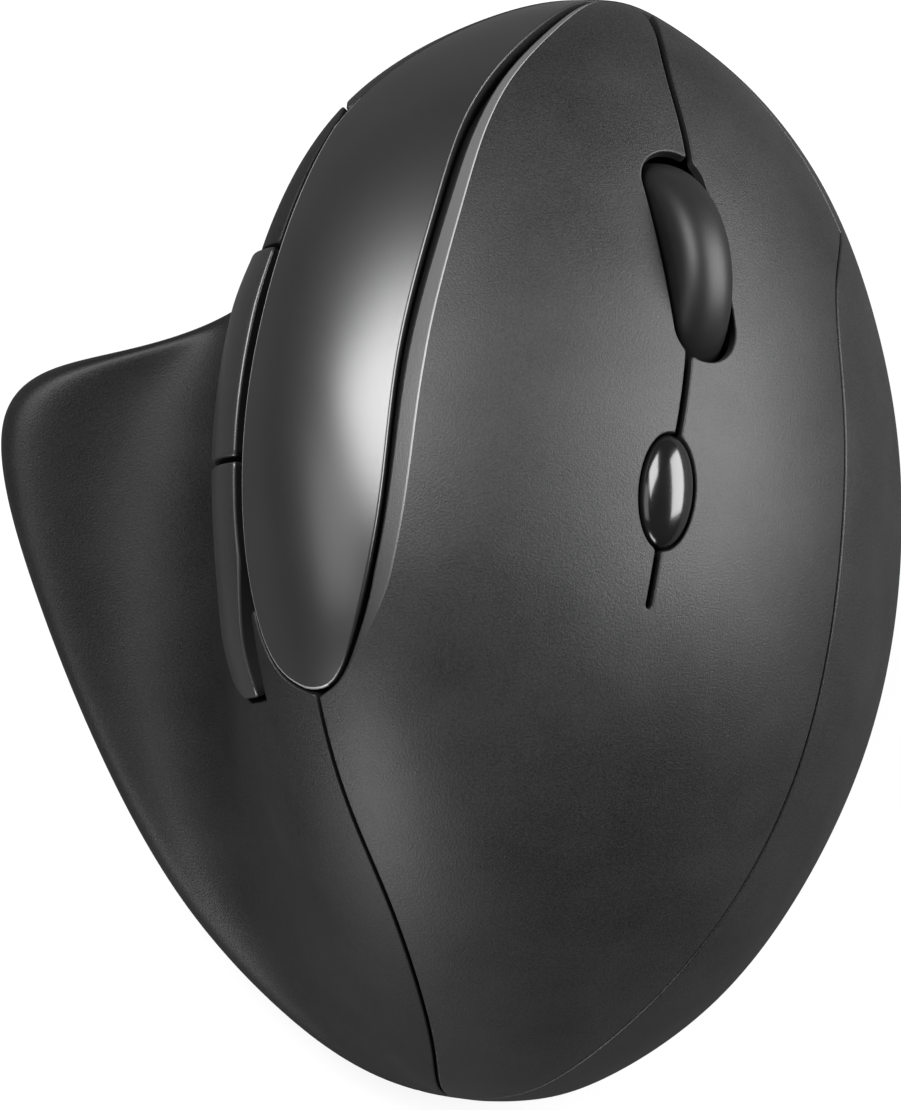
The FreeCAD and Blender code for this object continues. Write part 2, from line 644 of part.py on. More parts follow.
# Two pegs on the inside of the thumb shell carry the upright switch board.
PEGS = ((-7.0, 33.6), (21.0, 33.8))
PEG_RADIUS = 2.0
BOARD_SCREW_REACH = 3.4
board_bore = val("board_screw_radius") + fit_gap / 2
for y, z in PEGS:
    at = drawn(BUTTON_BOARD_X, y, z)
    thumb_shell = thumb_shell.fuse(along_x(PEG_RADIUS, at, thumb_limit - 25).common(form_half))
    thumb_shell = thumb_shell.cut(along_x(board_bore, at + V(1, 0, 0), at.x - BOARD_SCREW_REACH))
thumb_shell = one(thumb_shell)

# Bottom case: bosses, battery opening, ribs beside the cell, sensor window and switch slot
CELL_XY = (20.0, -13.0)
SENSOR_XY = (-8.0, 8.0)
KNOB_XY = (-12.0, -18.0)
cell = drawn(*CELL_XY)
sensor = drawn(*SENSOR_XY)
knob = drawn(*KNOB_XY)
door_top = z_base + val("door_thickness")
cell_radius = val("cell_radius")
cell_z = door_top + run_gap + cell_radius
CONTACT_ROOM = 3.0
half_bay = cell_radius + run_gap
half_bay_length = val("cell_length") / 2 + CONTACT_ROOM
RIB = 1.4
RIB_HEIGHT = 8.0
door_lip = val("door_lip")
WINDOW = (8.0, 6.0)
board_bottom = z_floor + val("board_height")


def around(centre, half_x, half_y, low, high):
    """Upright box about a point."""
    return block(V(centre.x - half_x, centre.y - half_y, low), V(centre.x + half_x, centre.y + half_y, high))


bay = around(cell, half_bay, half_bay_length, 0, z_floor + RIB_HEIGHT + PAST)
rib_blank = around(cell, half_bay + RIB, half_bay_length + RIB, z_floor, z_floor + RIB_HEIGHT)
recess_lap = door_lip + seam_gap
door_recess = around(cell, half_bay + recess_lap, half_bay_length + recess_lap, 0, door_top + seam_gap)
window = around(sensor, WINDOW[0] / 2, WINDOW[1] / 2, 0, z_floor + PAST)
half_knob = val("knob_side") / 2 + run_gap
knob_middle = knob + V(val("knob_travel") / 2, 0, 0)
knob_slot = around(knob_middle, half_knob + val("knob_travel") / 2, half_knob, 0, z_floor + PAST)
BOARD_BOSSES = ((-13.5, -25.5), (-1.5, -25.5), (-8.0, 24.5))
BOARD_BOSS_RADIUS = 2.2
boss_places = [drawn(x, y) for x, y in BOARD_BOSSES]
bosses = [upright(at.x, at.y, leg_radius + 1, z_base, boss_top) for at in screw_places]
bosses += [upright(at.x, at.y, BOARD_BOSS_RADIUS, z_base, board_bottom) for at in boss_places]
bottom_case = bottom_case.multiFuse([rib_blank] + [boss.common(form_half) for boss in bosses])
screw_holes = [upright(at.x, at.y, screw_radius + fit_gap, 0, boss_top + PAST) for at in screw_places]
screw_holes += [upright(at.x, at.y, board_bore, board_bottom - BOARD_SCREW_REACH, board_bottom + PAST)
                for at in boss_places]
head_holes = [upright(at.x, at.y, val("screw_head_radius") + fit_gap, 0, head_top) for at in screw_places]
bottom_case = one(bottom_case.cut(Part.makeCompound([bay, door_recess, window, knob_slot])))
bottom_case = one(bottom_case.cut(Part.makeCompound(screw_holes)).cut(Part.makeCompound(head_holes)))

pieces = [add(label, shape) for label, shape in (
    ("palm_cover", palm), ("left_key", left_key), ("right_key", right_key), ("accent_panel", accent_panel),
    ("thumb_shell", thumb_shell), ("bottom_case", bottom_case),
    ("forward_button", buttons[0]), ("back_button", buttons[1]))]

# Oval button: a glossy dome on a short stem
DOME_DEPTH = 1.5
DOME_HEIGHT = 2.7
dome_share = math.sqrt(1 - (DOME_DEPTH / DOME_HEIGHT) ** 2)
dome = Part.makeSphere(1.0, V(0, 0, 0))
stretch = FreeCAD.Matrix()
stretch.scale(V(val("oval_width") / 2 / dome_share, val("oval_length") / 2 / dome_share, DOME_HEIGHT))
dome = dome.transformGeometry(stretch)
dome.translate(V(0, 0, -DOME_DEPTH))
CAP_DEPTH = 3.0
cap = oval_prism(0, -CAP_DEPTH, CUT_REACH).common(dome.fuse(oval_prism(0, -CAP_DEPTH, -DOME_DEPTH)))
drop = (oval_frame.origin - key_frame.point(0, 0, board_top)).dot(key_frame.z) / oval_frame.z.dot(key_frame.z)
oval_foot = oval_frame.origin - oval_frame.z * drop
# The stem is square to the skin and its plunger to the board, so the stem stops a little higher.
OVAL_STEM_RADIUS = 1.1
STEM_TILT_GAP = 0.45
stem_low = -drop + tact_height + plunger_rise + STEM_TILT_GAP
stem = Part.makeCylinder(OVAL_STEM_RADIUS, -CAP_DEPTH + PAST / 2 - stem_low, V(0, 0, stem_low))
cap = cap.fuse(stem)
pieces.append(add("oval_button", oval_frame.put(cap)))


def bind(target, name, expression):
    """Ties a property to the sheet."""
    target.setExpression(name, expression)


def box(name, width, length, height, placement):
    """Box whose three sides are sheet expressions, centred over its placement and standing on it."""
    item = doc.addObject("Part::Box", name)
    for side, expression in (("Length", width), ("Width", length), ("Height", height)):
        bind(item, side, expression)
    doc.recompute()
    corner = FreeCAD.Placement(V(-item.Length.Value / 2, -item.Width.Value / 2, 0), FreeCAD.Rotation())
    item.Placement = placement * corner
    return item


def rod(name, radius, height, placement):
    """Cylinder whose radius and height are sheet expressions, standing on its placement."""
    item = doc.addObject("Part::Cylinder", name)
    bind(item, "Radius", radius)
    bind(item, "Height", height)
    item.Placement = placement
    return item


def cut(name, base, tools):
    """The base less the tools."""
    tool = tools[0]
    if len(tools) > 1:
        tool = fused(name + "_tools", tools)
    item = doc.addObject("Part::Cut", name)
    item.Base = base
    item.Tool = tool
    return item


def fused(name, items):
    """The items as one solid."""
    item = doc.addObject("Part::MultiFuse", name)
    item.Shapes = items
    return item


def keep(item, label):
    """Marks a document object as one of the mouse's pieces."""
    item.Label = label
    pieces.append(item)
    return item


def axle_place(along):
    """Placement on the wheel's axle, with Z along it to the right."""
    rotation = FreeCAD.Rotation(key_frame.y, key_frame.z, key_frame.x, "ZXY")
    return FreeCAD.Placement(key_frame.point(along, 0, -wheel_depth), rotation)


def new_body(label):
    """Empty body for a moulded, turned or cut piece."""
    body = doc.addObject("PartDesign::Body", label)
    pieces.append(body)
    return body


def origin_part(body, role):
    """A plane or axis of the body's own origin."""
    return [item for item in body.Origin.OriginFeatures if item.Role == role][0]


def sketch_on(body, role, name, offset=V(0, 0, 0)):
    """Sketch on one of the body's planes."""
    sketch = body.newObject("Sketcher::SketchObject", name)
    sketch.AttachmentSupport = (origin_part(body, role), [""])
    sketch.MapMode = "FlatFace"
    sketch.AttachmentOffset = FreeCAD.Placement(offset, FreeCAD.Rotation())
    return sketch


def polygon(sketch, corners):
    """Closed outline with level and upright sides. Each corner is a pair of sheet expressions."""
    count = len(corners)
    start = sketch.GeometryCount
    for k in range(count):
        a = V(10 + 3 * math.cos(k), 10 + 3 * math.sin(k), 0)
        b = V(10 + 3 * math.cos(k + 1), 10 + 3 * math.sin(k + 1), 0)
        sketch.addGeometry(Part.LineSegment(a, b), False)
    for k in range(count):
        sketch.addConstraint(Sketcher.Constraint("Coincident", start + k, 2, start + (k + 1) % count, 1))
    for k, corner in enumerate(corners):
        for kind, expression in zip(("DistanceX", "DistanceY"), corner):
            index = sketch.addConstraint(Sketcher.Constraint(kind, -1, 1, start + k, 1, 1.0))
            sketch.setExpression("Constraints[%d]" % index, expression)


def circle(sketch, x, y, radius):
    """Circle whose centre and radius are sheet expressions."""
    index = sketch.addGeometry(Part.Circle(V(1, 1, 0), V(0, 0, 1), 1), False)
    centre_x = sketch.addConstraint(Sketcher.Constraint("DistanceX", -1, 1, index, 3, 1.0))
    centre_y = sketch.addConstraint(Sketcher.Constraint("DistanceY", -1, 1, index, 3, 1.0))
    round_r = sketch.addConstraint(Sketcher.Constraint("Radius", index, 1.0))
    for constraint, expression in ((centre_x, x), (centre_y, y), (round_r, radius)):
        sketch.setExpression("Constraints[%d]" % constraint, expression)


def pad(body, sketch, length):
    feature = body.newObject("PartDesign::Pad", sketch.Name + "_pad")
    feature.Profile = sketch
    bind(feature, "Length", length)
    return feature


def revolved(body, sketch, role):
    feature = body.newObject("PartDesign::Revolution", sketch.Name + "_turn")
    feature.Profile = sketch
    feature.ReferenceAxis = (origin_part(body, role), [""])
    feature.Angle = 360
    return feature


def show_cut(body, before, expected):
    """Stops the build unless the body's last cut took away what it should."""
    doc.recompute()
    taken = before - body.Shape.Volume
    print(body.Label, "cut away", round(taken, 2), "of", round(expected, 2))
    if abs(taken - expected) > 0.02 * expected:
        raise ValueError(body.Label + " wasn't cut as drawn")


# Rubber tyre: a crowned ring, turned about the axle
tyre = new_body("wheel_tyre")
tyre.Placement = axle_place(0)
profile = sketch_on(tyre, "XZ_Plane", "tyre_profile")
inner = "Sizes.wheel_radius - Sizes.tyre_thickness"
shoulder = "Sizes.wheel_radius - Sizes.tyre_crown"
half_width = "Sizes.wheel_thickness / 2"
crown_in = "Sizes.wheel_radius - Sizes.tyre_crown * 0.25"
flat = "Sizes.wheel_thickness * 0.32"
polygon(profile, [(inner, "-" + half_width), (inner, half_width), (shoulder, half_width), (crown_in, flat),
                  ("Sizes.wheel_radius", "Sizes.wheel_thickness * 0.12"),
                  ("Sizes.wheel_radius", "-Sizes.wheel_thickness * 0.12"), (crown_in, "-" + flat),
                  (shoulder, "-" + half_width)])
revolved(tyre, profile, "Z_Axis")

# Hub: rim, web, boss and axle moulded in one, with holes through the web
half_hub = "(Sizes.wheel_thickness / 2 - Sizes.fit_gap * 3)"
rim_out = "Sizes.wheel_radius - Sizes.tyre_thickness - Sizes.fit_gap"
rim_in = "Sizes.wheel_radius - Sizes.tyre_thickness - Sizes.fit_gap - Sizes.hub_rim"
boss = "Sizes.axle_radius + Sizes.hub_rim"
half_web = "Sizes.hub_web / 2"
axle_left = ("-(Sizes.bearing_centre + Sizes.bearing_width / 2 + Sizes.encoder_gap"
             " + Sizes.encoder_width * 0.9)")
axle_right = "Sizes.bearing_centre + Sizes.bearing_width / 2 + Sizes.run_gap"
hub = new_body("wheel_hub")
hub.Placement = axle_place(0)
profile = sketch_on(hub, "XZ_Plane", "hub_profile")
polygon(profile, [("0", axle_left), ("Sizes.axle_radius", axle_left), ("Sizes.axle_radius", "-" + half_hub),
                  (boss, "-" + half_hub), (boss, "-" + half_web), (rim_in, "-" + half_web),
                  (rim_in, "-" + half_hub), (rim_out, "-" + half_hub), (rim_out, half_hub), (rim_in, half_hub),
                  (rim_in, half_web), (boss, half_web), (boss, half_hub), ("Sizes.axle_radius", half_hub),
                  ("Sizes.axle_radius", axle_right), ("0", axle_right)])
revolved(hub, profile, "Z_Axis")
HUB_HOLES = 6
doc.recompute()
hub_volume = hub.Shape.Volume
holes = sketch_on(hub, "XY_Plane", "hub_hole")
hole_circle = "(Sizes.wheel_radius - Sizes.tyre_thickness + Sizes.axle_radius) / 2"
circle(holes, hole_circle, "0", "Sizes.hub_hole_radius")
pocket = hub.newObject("PartDesign::Pocket", "hub_hole_cut")
pocket.Profile = holes
pocket.Midplane = True
bind(pocket, "Length", "Sizes.hub_web * 2")
pattern = hub.newObject("PartDesign::PolarPattern", "hub_holes")
pattern.Originals = [pocket]
pattern.Axis = (origin_part(hub, "Z_Axis"), [""])
pattern.Angle = 360
pattern.Occurrences = HUB_HOLES
hub.Tip = pattern
web_taken = HUB_HOLES * math.pi * val("hub_hole_radius") ** 2 * val("hub_web")
show_cut(hub, hub_volume, web_taken)

# Bearing blocks: the axle spins in them, and they slide down their guide posts with the middle click
for label, side in (("left_bearing", -1), ("right_bearing", 1)):
    at = key_frame.place(side * bearing_x, 0, -wheel_depth - half_bearing)
    square = box(label + "_square", "Sizes.bearing_width", "Sizes.bearing_block", "Sizes.bearing_block", at)
    bore = rod(label + "_bore", "Sizes.axle_radius + Sizes.axle_gap", "Sizes.bearing_width * 3",
               axle_place(side * bearing_x - val("bearing_width") * 1.5))
    keep(cut(label, square, [bore]), label)

# Scroll encoder: its wide bore lets the axle's end drop with the click
encoder_x = -(bearing_x + half_bearing_width + val("encoder_gap") + val("encoder_width") / 2)
square = box("encoder_square", "Sizes.encoder_width", "Sizes.encoder_side", "Sizes.encoder_side",
             key_frame.place(encoder_x, 0, board_top))
bore = rod("encoder_bore", "Sizes.axle_radius + Sizes.click_travel + Sizes.run_gap", "Sizes.encoder_width * 3",
           axle_place(encoder_x - val("encoder_width") * 1.5))
keep(cut("scroll_encoder", square, [bore]), "scroll_encoder")


WELL_DEPTH = 1.9


def switch(label, width, length, height, placement):
    """Switch body with a well for its plunger."""
    body = box(label + "_body", width, length, height, placement)
    up = FreeCAD.Placement(V(0, 0, body.Height.Value - WELL_DEPTH), FreeCAD.Rotation())
    well = rod(label + "_well", "Sizes.plunger_radius + Sizes.run_gap + Sizes.fit_gap", "Sizes.plunger_rise * 4",
               placement * up)
    keep(cut(label, body, [well]), label)


def add_plunger(label, placement, switch_height, length):
    """Plunger that starts inside a switch of the given height. Its length is a sheet expression."""
    start = placement * FreeCAD.Placement(V(0, 0, switch_height - PLUNGER_IN), FreeCAD.Rotation())
    keep(rod(label, "Sizes.plunger_radius", length, start), label)


# Key switches under the two actuator posts
for label, side in (("left", -1), ("right", 1)):
    at = key_frame.place(side * SWITCH_X, SWITCH_Y, board_top)
    switch(label + "_switch", "Sizes.micro_width", "Sizes.micro_length", "Sizes.micro_height", at)
    add_plunger(label + "_plunger", at, val("micro_height"), "Sizes.plunger_rise + %s" % (PLUNGER_IN - TOUCH))

# Middle-click switch under the left bearing block
at = key_frame.place(-bearing_x, 0, board_top)
switch("middle_switch", "Sizes.tact_side", "Sizes.tact_side", "Sizes.tact_height", at)
add_plunger("middle_plunger", at, tact_height,
            "Sizes.key_board_depth - Sizes.wheel_radius + Sizes.wheel_proud - Sizes.bearing_block / 2"
            " - Sizes.tact_height + %s" % (PLUNGER_IN - TOUCH))

# Switch under the oval button's stem
foot = oval_foot - key_frame.origin
at = key_frame.place(foot.dot(key_frame.x), foot.dot(key_frame.y), board_top)
switch("oval_switch", "Sizes.tact_side", "Sizes.tact_side", "Sizes.tact_height", at)
add_plunger("oval_plunger", at, tact_height, "Sizes.plunger_rise + %s" % (PLUNGER_IN - TOUCH))

# Tilted key board: open at the front for the wheel, with holes for the guide posts
guide_y = half_bearing + val("guide_gap") + val("guide_thickness") / 2
notch_back = math.sqrt(wheel_radius ** 2 - (val("key_board_depth") - wheel_depth) ** 2) + val("notch_gap")
board_front = KEY_BOARD_Y + val("key_board_length") / 2
half_notch = val("wheel_thickness") / 2 + val("notch_gap")
CORNERS = ((-1, -1), (1, -1), (-1, 1), (1, 1))
BOARD_INSET = 2.2


def notch(name, low, height):
    """Opening for the wheel, from behind the tread to past the front edge."""
    length = notch_back + board_front + PAST
    at = key_frame.place(0, board_front + PAST - length / 2, low)
    return box(name, "Sizes.wheel_thickness + 2 * Sizes.notch_gap", str(length), height, at)


def board_corner(across, along):
    return (KEY_BOARD_X + across * (val("key_board_width") / 2 - BOARD_INSET),
            KEY_BOARD_Y + along * (val("key_board_length") / 2 - BOARD_INSET))


at = key_frame.place(KEY_BOARD_X, KEY_BOARD_Y, board_top - board_thickness)
plate = box("key_board_plate", "Sizes.key_board_width", "Sizes.key_board_length", "Sizes.board_thickness", at)
holes = [notch("key_board_notch", board_top - board_thickness * 2, "Sizes.board_thickness * 4")]
for index, (across, along) in enumerate(CORNERS):
    place = key_frame.place(across * bearing_x, along * guide_y, board_top - board_thickness * 2)
    holes.append(box("key_board_guide_%d" % index, "Sizes.bearing_width + 2 * Sizes.seam_gap",
                     "Sizes.guide_thickness + 2 * Sizes.seam_gap", "Sizes.board_thickness * 4", place))
    x, y = board_corner(across, along)
    holes.append(rod("key_board_screw_%d" % index, "Sizes.board_screw_radius + Sizes.fit_gap",
                     "Sizes.board_thickness * 4", key_frame.place(x, y, board_top - board_thickness * 2)))
keep(cut("key_board", plate, holes), "key_board")

# Inner deck under the key board: plate, pads, guide posts for the blocks and four legs down to the case
deck_low = deck_top - val("deck_thickness")
deck_width = val("key_board_width")
deck_length = val("key_board_length")
deck_corner = V(KEY_BOARD_X - deck_width / 2, KEY_BOARD_Y - deck_length / 2, deck_low)
deck = Part.makeBox(deck_width, deck_length, val("deck_thickness"), deck_corner)
PAD_RADIUS = 2.0
for across, along in CORNERS:
    x, y = board_corner(across, along)
    deck = deck.fuse(Part.makeCylinder(PAD_RADIUS, val("standoff") + PAST, V(x, y, deck_top - PAST)))
    low_y = along * guide_y - val("guide_thickness") / 2
    low_corner = V(across * bearing_x - half_bearing_width, low_y, deck_top - PAST)
    post_height = -wheel_depth + half_bearing + seam_gap - low_corner.z
    deck = deck.fuse(Part.makeBox(val("bearing_width"), val("guide_thickness"), post_height, low_corner))
opening_low = V(-half_notch, -notch_back, deck_low - CUT_REACH)
opening = Part.makeBox(2 * half_notch, notch_back + board_front + PAST, 3 * CUT_REACH, opening_low)
deck = key_frame.put(deck.cut(opening))
under_deck = key_frame.put(Part.makeBox(2 * FAR, 2 * FAR, FAR, V(-FAR, -FAR, deck_top - PAST / 2 - FAR)))
for at in leg_tops:
    deck = deck.fuse(upright(at.x, at.y, leg_radius, boss_top, FAR).common(under_deck))
for at in leg_tops:
    deck = deck.cut(upright(at.x, at.y, screw_radius + fit_gap / 2, boss_top - PAST, screw_top + PAST))
pilot_length = BOARD_SCREW_REACH + PAST
pilot = Part.makeCylinder(board_bore, pilot_length, V(0, 0, deck_low - PAST))
for across, along in CORNERS:
    x, y = board_corner(across, along)
    hole = pilot.copy()
    hole.translate(V(x, y, 0))
    deck = deck.cut(key_frame.put(hole))
pieces.append(add("key_deck", one(deck)))

# Upright board behind the thumb buttons
SIDE_BOARD_Y = (-11.0, 25.5)
SIDE_BOARD_Z = (30.8, 46.4)
low = drawn(BUTTON_BOARD_X, SIDE_BOARD_Y[0], SIDE_BOARD_Z[0])
high = drawn(BUTTON_BOARD_X, SIDE_BOARD_Y[1], SIDE_BOARD_Z[1])
facing = FreeCAD.Rotation(V(0, 1, 0), V(0, 0, -1), V(-1, 0, 0), "ZXY")
centre = V(low.x + board_thickness, (low.y + high.y) / 2, (low.z + high.z) / 2)
plate = box("side_board_plate", str(high.y - low.y), str(high.z - low.z), "Sizes.board_thickness",
            FreeCAD.Placement(centre, facing))
peg_places = [drawn(BUTTON_BOARD_X, y, z) for y, z in PEGS]
holes = []
for index, at in enumerate(peg_places):
    back = FreeCAD.Placement(V(at.x + board_thickness * 2, at.y, at.z), facing)
    holes.append(rod("side_board_hole_%d" % index, "Sizes.board_screw_radius + Sizes.fit_gap",
                     "Sizes.board_thickness * 4", back))
keep(cut("side_board", plate, holes), "side_board")
for label, (y, z) in (("forward", FORWARD_SWITCH), ("back", BACK_SWITCH)):
    at = FreeCAD.Placement(drawn(BUTTON_BOARD_X, y, z), facing)
    switch(label + "_switch", "Sizes.tact_side", "Sizes.tact_side", "Sizes.tact_height", at)
    add_plunger(label + "_plunger", at, tact_height, "Sizes.plunger_rise + %s" % (PLUNGER_IN - TOUCH))

# Main board on its bosses, with the sensor over its lens, a controller and the power switch
MAIN_BOARD_X = (-16.0, 1.0)
MAIN_BOARD_Y = (-28.0, 27.0)
low = drawn(MAIN_BOARD_X[0], MAIN_BOARD_Y[0])
high = drawn(MAIN_BOARD_X[1], MAIN_BOARD_Y[1])
middle = (low + high) * 0.5
board = new_body("main_board")
board.Placement = FreeCAD.Placement(V(middle.x, middle.y, board_bottom), FreeCAD.Rotation())
outline = sketch_on(board, "XY_Plane", "main_outline")
half_x = str((high.x - low.x) / 2)
half_y = str((high.y - low.y) / 2)
polygon(outline, [("-" + half_x, "-" + half_y), (half_x, "-" + half_y), (half_x, half_y), ("-" + half_x, half_y)])
pad(board, outline, "Sizes.board_thickness")
doc.recompute()
board_volume = board.Shape.Volume
drills = sketch_on(board, "XY_Plane", "main_holes")
for at in boss_places:
    circle(drills, str(at.x - middle.x), str(at.y - middle.y), "Sizes.board_screw_radius + Sizes.fit_gap")
circle(drills, str(sensor.x - middle.x), str(sensor.y - middle.y), "Sizes.light_hole_radius")
pocket = board.newObject("PartDesign::Pocket", "main_holes_cut")
pocket.Profile = drills
pocket.Midplane = True
bind(pocket, "Length", "Sizes.board_thickness * 4")
board.Tip = pocket
drill_radii = [val("board_screw_radius") + fit_gap] * len(boss_places) + [val("light_hole_radius")]
show_cut(board, board_volume, sum(math.pi * r ** 2 for r in drill_radii) * board_thickness)
board_up = board_bottom + board_thickness


def level(at, z):
    """Upright placement over a plan point."""
    return FreeCAD.Placement(V(at.x, at.y, z), FreeCAD.Rotation())


sensor_box = box("optical_sensor", "Sizes.sensor_width", "Sizes.sensor_length", "Sizes.sensor_height",
                 level(sensor, board_up))
keep(sensor_box, "optical_sensor")
chip = drawn(-8.0, -12.0)
chip_box = box("controller_chip", "Sizes.chip_side", "Sizes.chip_side", "Sizes.chip_height", level(chip, board_up))
keep(chip_box, "controller_chip")

# Lens between the board and the window in the floor
LENS_RISE = 0.9
lens_plate = box("lens_plate", "Sizes.lens_width", "Sizes.lens_length", "Sizes.board_height - Sizes.seam_gap",
                 level(sensor, z_floor))
lens_nose = rod("lens_nose", "Sizes.lens_nose_radius", "Sizes.floor_thickness + Sizes.chip_height",
                level(sensor, z_base + LENS_RISE))
keep(fused("sensor_lens", [lens_plate, lens_nose]), "sensor_lens")

# Power switch on the underside of the main board. Its knob shows through the floor.
KNOB_SINK = 0.2
KNOB_WELL = 2.2
body = box("power_body", "Sizes.knob_side * 2.5 + Sizes.knob_travel", "Sizes.knob_side * 2",
           "Sizes.board_height - Sizes.fit_gap", level(knob_middle, z_floor + fit_gap))
well = box("power_well", "Sizes.knob_side + Sizes.knob_travel + 2 * Sizes.run_gap",
           "Sizes.knob_side + 2 * Sizes.run_gap", str(KNOB_WELL), level(knob_middle, z_floor - KNOB_SINK))
keep(cut("power_switch", body, [well]), "power_switch")
knob_height = "Sizes.floor_thickness + %s - 2 * Sizes.seam_gap" % (KNOB_WELL - 2 * KNOB_SINK + fit_gap)
keep(box("power_knob", "Sizes.knob_side", "Sizes.knob_side", knob_height, level(knob, z_base + KNOB_SINK)),
     "power_knob")

# AA cell along Y, with a contact at each end of its bay
cell_body = new_body("battery_cell")
cell_body.Placement = FreeCAD.Placement(V(cell.x, cell.y, cell_z), FreeCAD.Rotation(V(1, 0, 0), -90))
profile = sketch_on(cell_body, "XZ_Plane", "cell_profile")
half_cell = "Sizes.cell_length / 2"
BUTTON_RADIUS = "2.7"
BUTTON_RISE = " - 1"
polygon(profile, [("0", "-" + half_cell), ("Sizes.cell_radius", "-" + half_cell),
                  ("Sizes.cell_radius", half_cell + BUTTON_RISE), (BUTTON_RADIUS, half_cell + BUTTON_RISE),
                  (BUTTON_RADIUS, half_cell), ("0", half_cell)])
revolved(cell_body, profile, "Z_Axis")
for label, side in (("plus_contact", 1), ("minus_contact", -1)):
    wall_y = cell.y + side * (half_bay_length - fit_gap / 2)
    toward = FreeCAD.Rotation(V(1, 0, 0), 90 * side)
    plate = box(label + "_plate", "Sizes.contact_width", "Sizes.contact_height", "Sizes.contact_thickness",
                FreeCAD.Placement(V(cell.x, wall_y, cell_z), toward))
    bump = doc.addObject("Part::Cone", label + "_bump")
    bump.Radius1 = 2.8
    bump.Radius2 = 1.6
    bind(bump, "Height", str(CONTACT_ROOM - fit_gap))
    bump.Placement = FreeCAD.Placement(V(cell.x, wall_y, cell_z), toward)
    keep(fused(label, [plate, bump]), label)

# Battery door, flush with the floor, with grip grooves across one end
place = FreeCAD.Placement(V(cell.x, cell.y, z_base), FreeCAD.Rotation())
door_width = "2 * (Sizes.cell_radius + Sizes.run_gap + Sizes.door_lip)"
door_length = "Sizes.cell_length + %s + 2 * Sizes.door_lip" % (2 * CONTACT_ROOM)
plate = box("door_plate", door_width, door_length, "Sizes.door_thickness", place)
grooves = []
GROOVES = 3
for index in range(GROOVES):
    at = cell + V(0, -half_bay_length + CONTACT_ROOM + index * val("groove_pitch"), 0)
    grooves.append(box("door_groove_%d" % index, "Sizes.cell_radius", "Sizes.groove_width",
                       "2 * Sizes.groove_depth", level(at, z_base - val("groove_depth"))))
keep(cut("battery_door", plate, grooves), "battery_door")


def stadium(at, length, width, turn, low, high):
    """Flat pad with round ends."""
    half = (length - width) / 2
    middle = Part.makeBox(2 * half, width, high - low, V(-half, -width / 2, low))
    pad_shape = middle.multiFuse([Part.makeCylinder(width / 2, high - low, V(x, 0, low)) for x in (-half, half)])
    pad_shape = pad_shape.removeSplitter()
    pad_shape.rotate(V(0, 0, 0), V(0, 0, 1), turn)
    pad_shape.translate(V(at.x, at.y, 0))
    return pad_shape


# Glide feet: front, back and under the wing
FEET = ((14.5, 46.5, 20.0, 0.0), (3.0, -51.0, 17.0, 0.0), (-34.0, 2.0, 19.0, 72.0), (39.5, 4.0, 19.0, 90.0))
foot_width = val("foot_width")
feet = [stadium(drawn(x, y), length, foot_width, turn, 0, z_base) for x, y, length, turn in FEET]
pieces.append(add("glide_feet", Part.makeCompound(feet)))


def screw(at, thread, head, head_height, length):
    """Screw whose head's underside is at the origin and whose thread runs up Z."""
    shape = Part.makeCylinder(thread, length, V(0, 0, 0))
    shape = shape.fuse(Part.makeCylinder(head, head_height, V(0, 0, -head_height)))
    shape.Placement = at
    return shape


head = (val("screw_head_radius"), val("screw_head_height"))
case_screws = [screw(level(at, head_top), screw_radius, *head, screw_top - head_top) for at in screw_places]
pieces.append(add("case_screws", Part.makeCompound(case_screws)))

flip = FreeCAD.Placement(V(0, 0, 0), FreeCAD.Rotation(V(1, 0, 0), 180))
small_places = [key_frame.place(*board_corner(across, along), board_top) * flip for across, along in CORNERS]
small_places += [level(at, board_up) * flip for at in boss_places]
small_places += [FreeCAD.Placement(V(at.x + board_thickness, at.y, at.z), facing) for at in peg_places]
small = (val("board_screw_radius"), val("board_head_radius"), val("board_head_height"), BOARD_SCREW_REACH)
board_screws = [screw(place, *small) for place in small_places]
pieces.append(add("board_screws", Part.makeCompound(board_screws)))


def under_skin(x, y, depth):
    """Point under the skin, at a drawn x and y."""
    at = top_point(x, y)
    return at - outward(at) * depth


# Where the moving pieces turn or slide, and where a foot stands, for whoever joins them
ROOT_LEFT_X = -7.0
ROOT_MIDDLE_X = 20.0
ROOT_RIGHT_X = 39.0
for name, p in (
        ("key_x", key_frame.x), ("key_z", key_frame.z), ("oval_z", oval_frame.z),
        ("wheel_centre", key_frame.point(0, 0, -wheel_depth)),
        ("door_hinge", cell + V(0, half_bay_length + door_lip, z_base)),
        ("root_left", under_skin(ROOT_LEFT_X, HINGE_Y, wall / 2)),
        ("root_middle", under_skin(ROOT_MIDDLE_X, HINGE_Y, wall / 2)),
        ("root_right", under_skin(ROOT_RIGHT_X, HINGE_Y, wall / 2)),
        ("front_foot", drawn(*FEET[0][:2]))):
    print("place %s %.5f %.5f %.5f" % (name, p.x, p.y, p.z))

doc.recompute()
faults = [item.Name for item in doc.Objects if "Invalid" in item.State or "Error" in item.State]
for piece in pieces:
    if piece.Shape.isNull() or not piece.Shape.isValid():
        faults.append(piece.Label)
if faults:
    raise ValueError("not built: " + ", ".join(faults))
os.makedirs("parts", exist_ok=True)
for piece in pieces:
    count = len(piece.Shape.Solids)
    print(piece.Label, count, round(piece.Shape.Volume, 1), len(piece.Shape.Faces))
    piece.Shape.exportStep("parts/%s.step" % piece.Label)
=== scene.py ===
import json
import math
import bpy
import numpy as np
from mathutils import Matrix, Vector
from mathutils.bvhtree import BVHTree


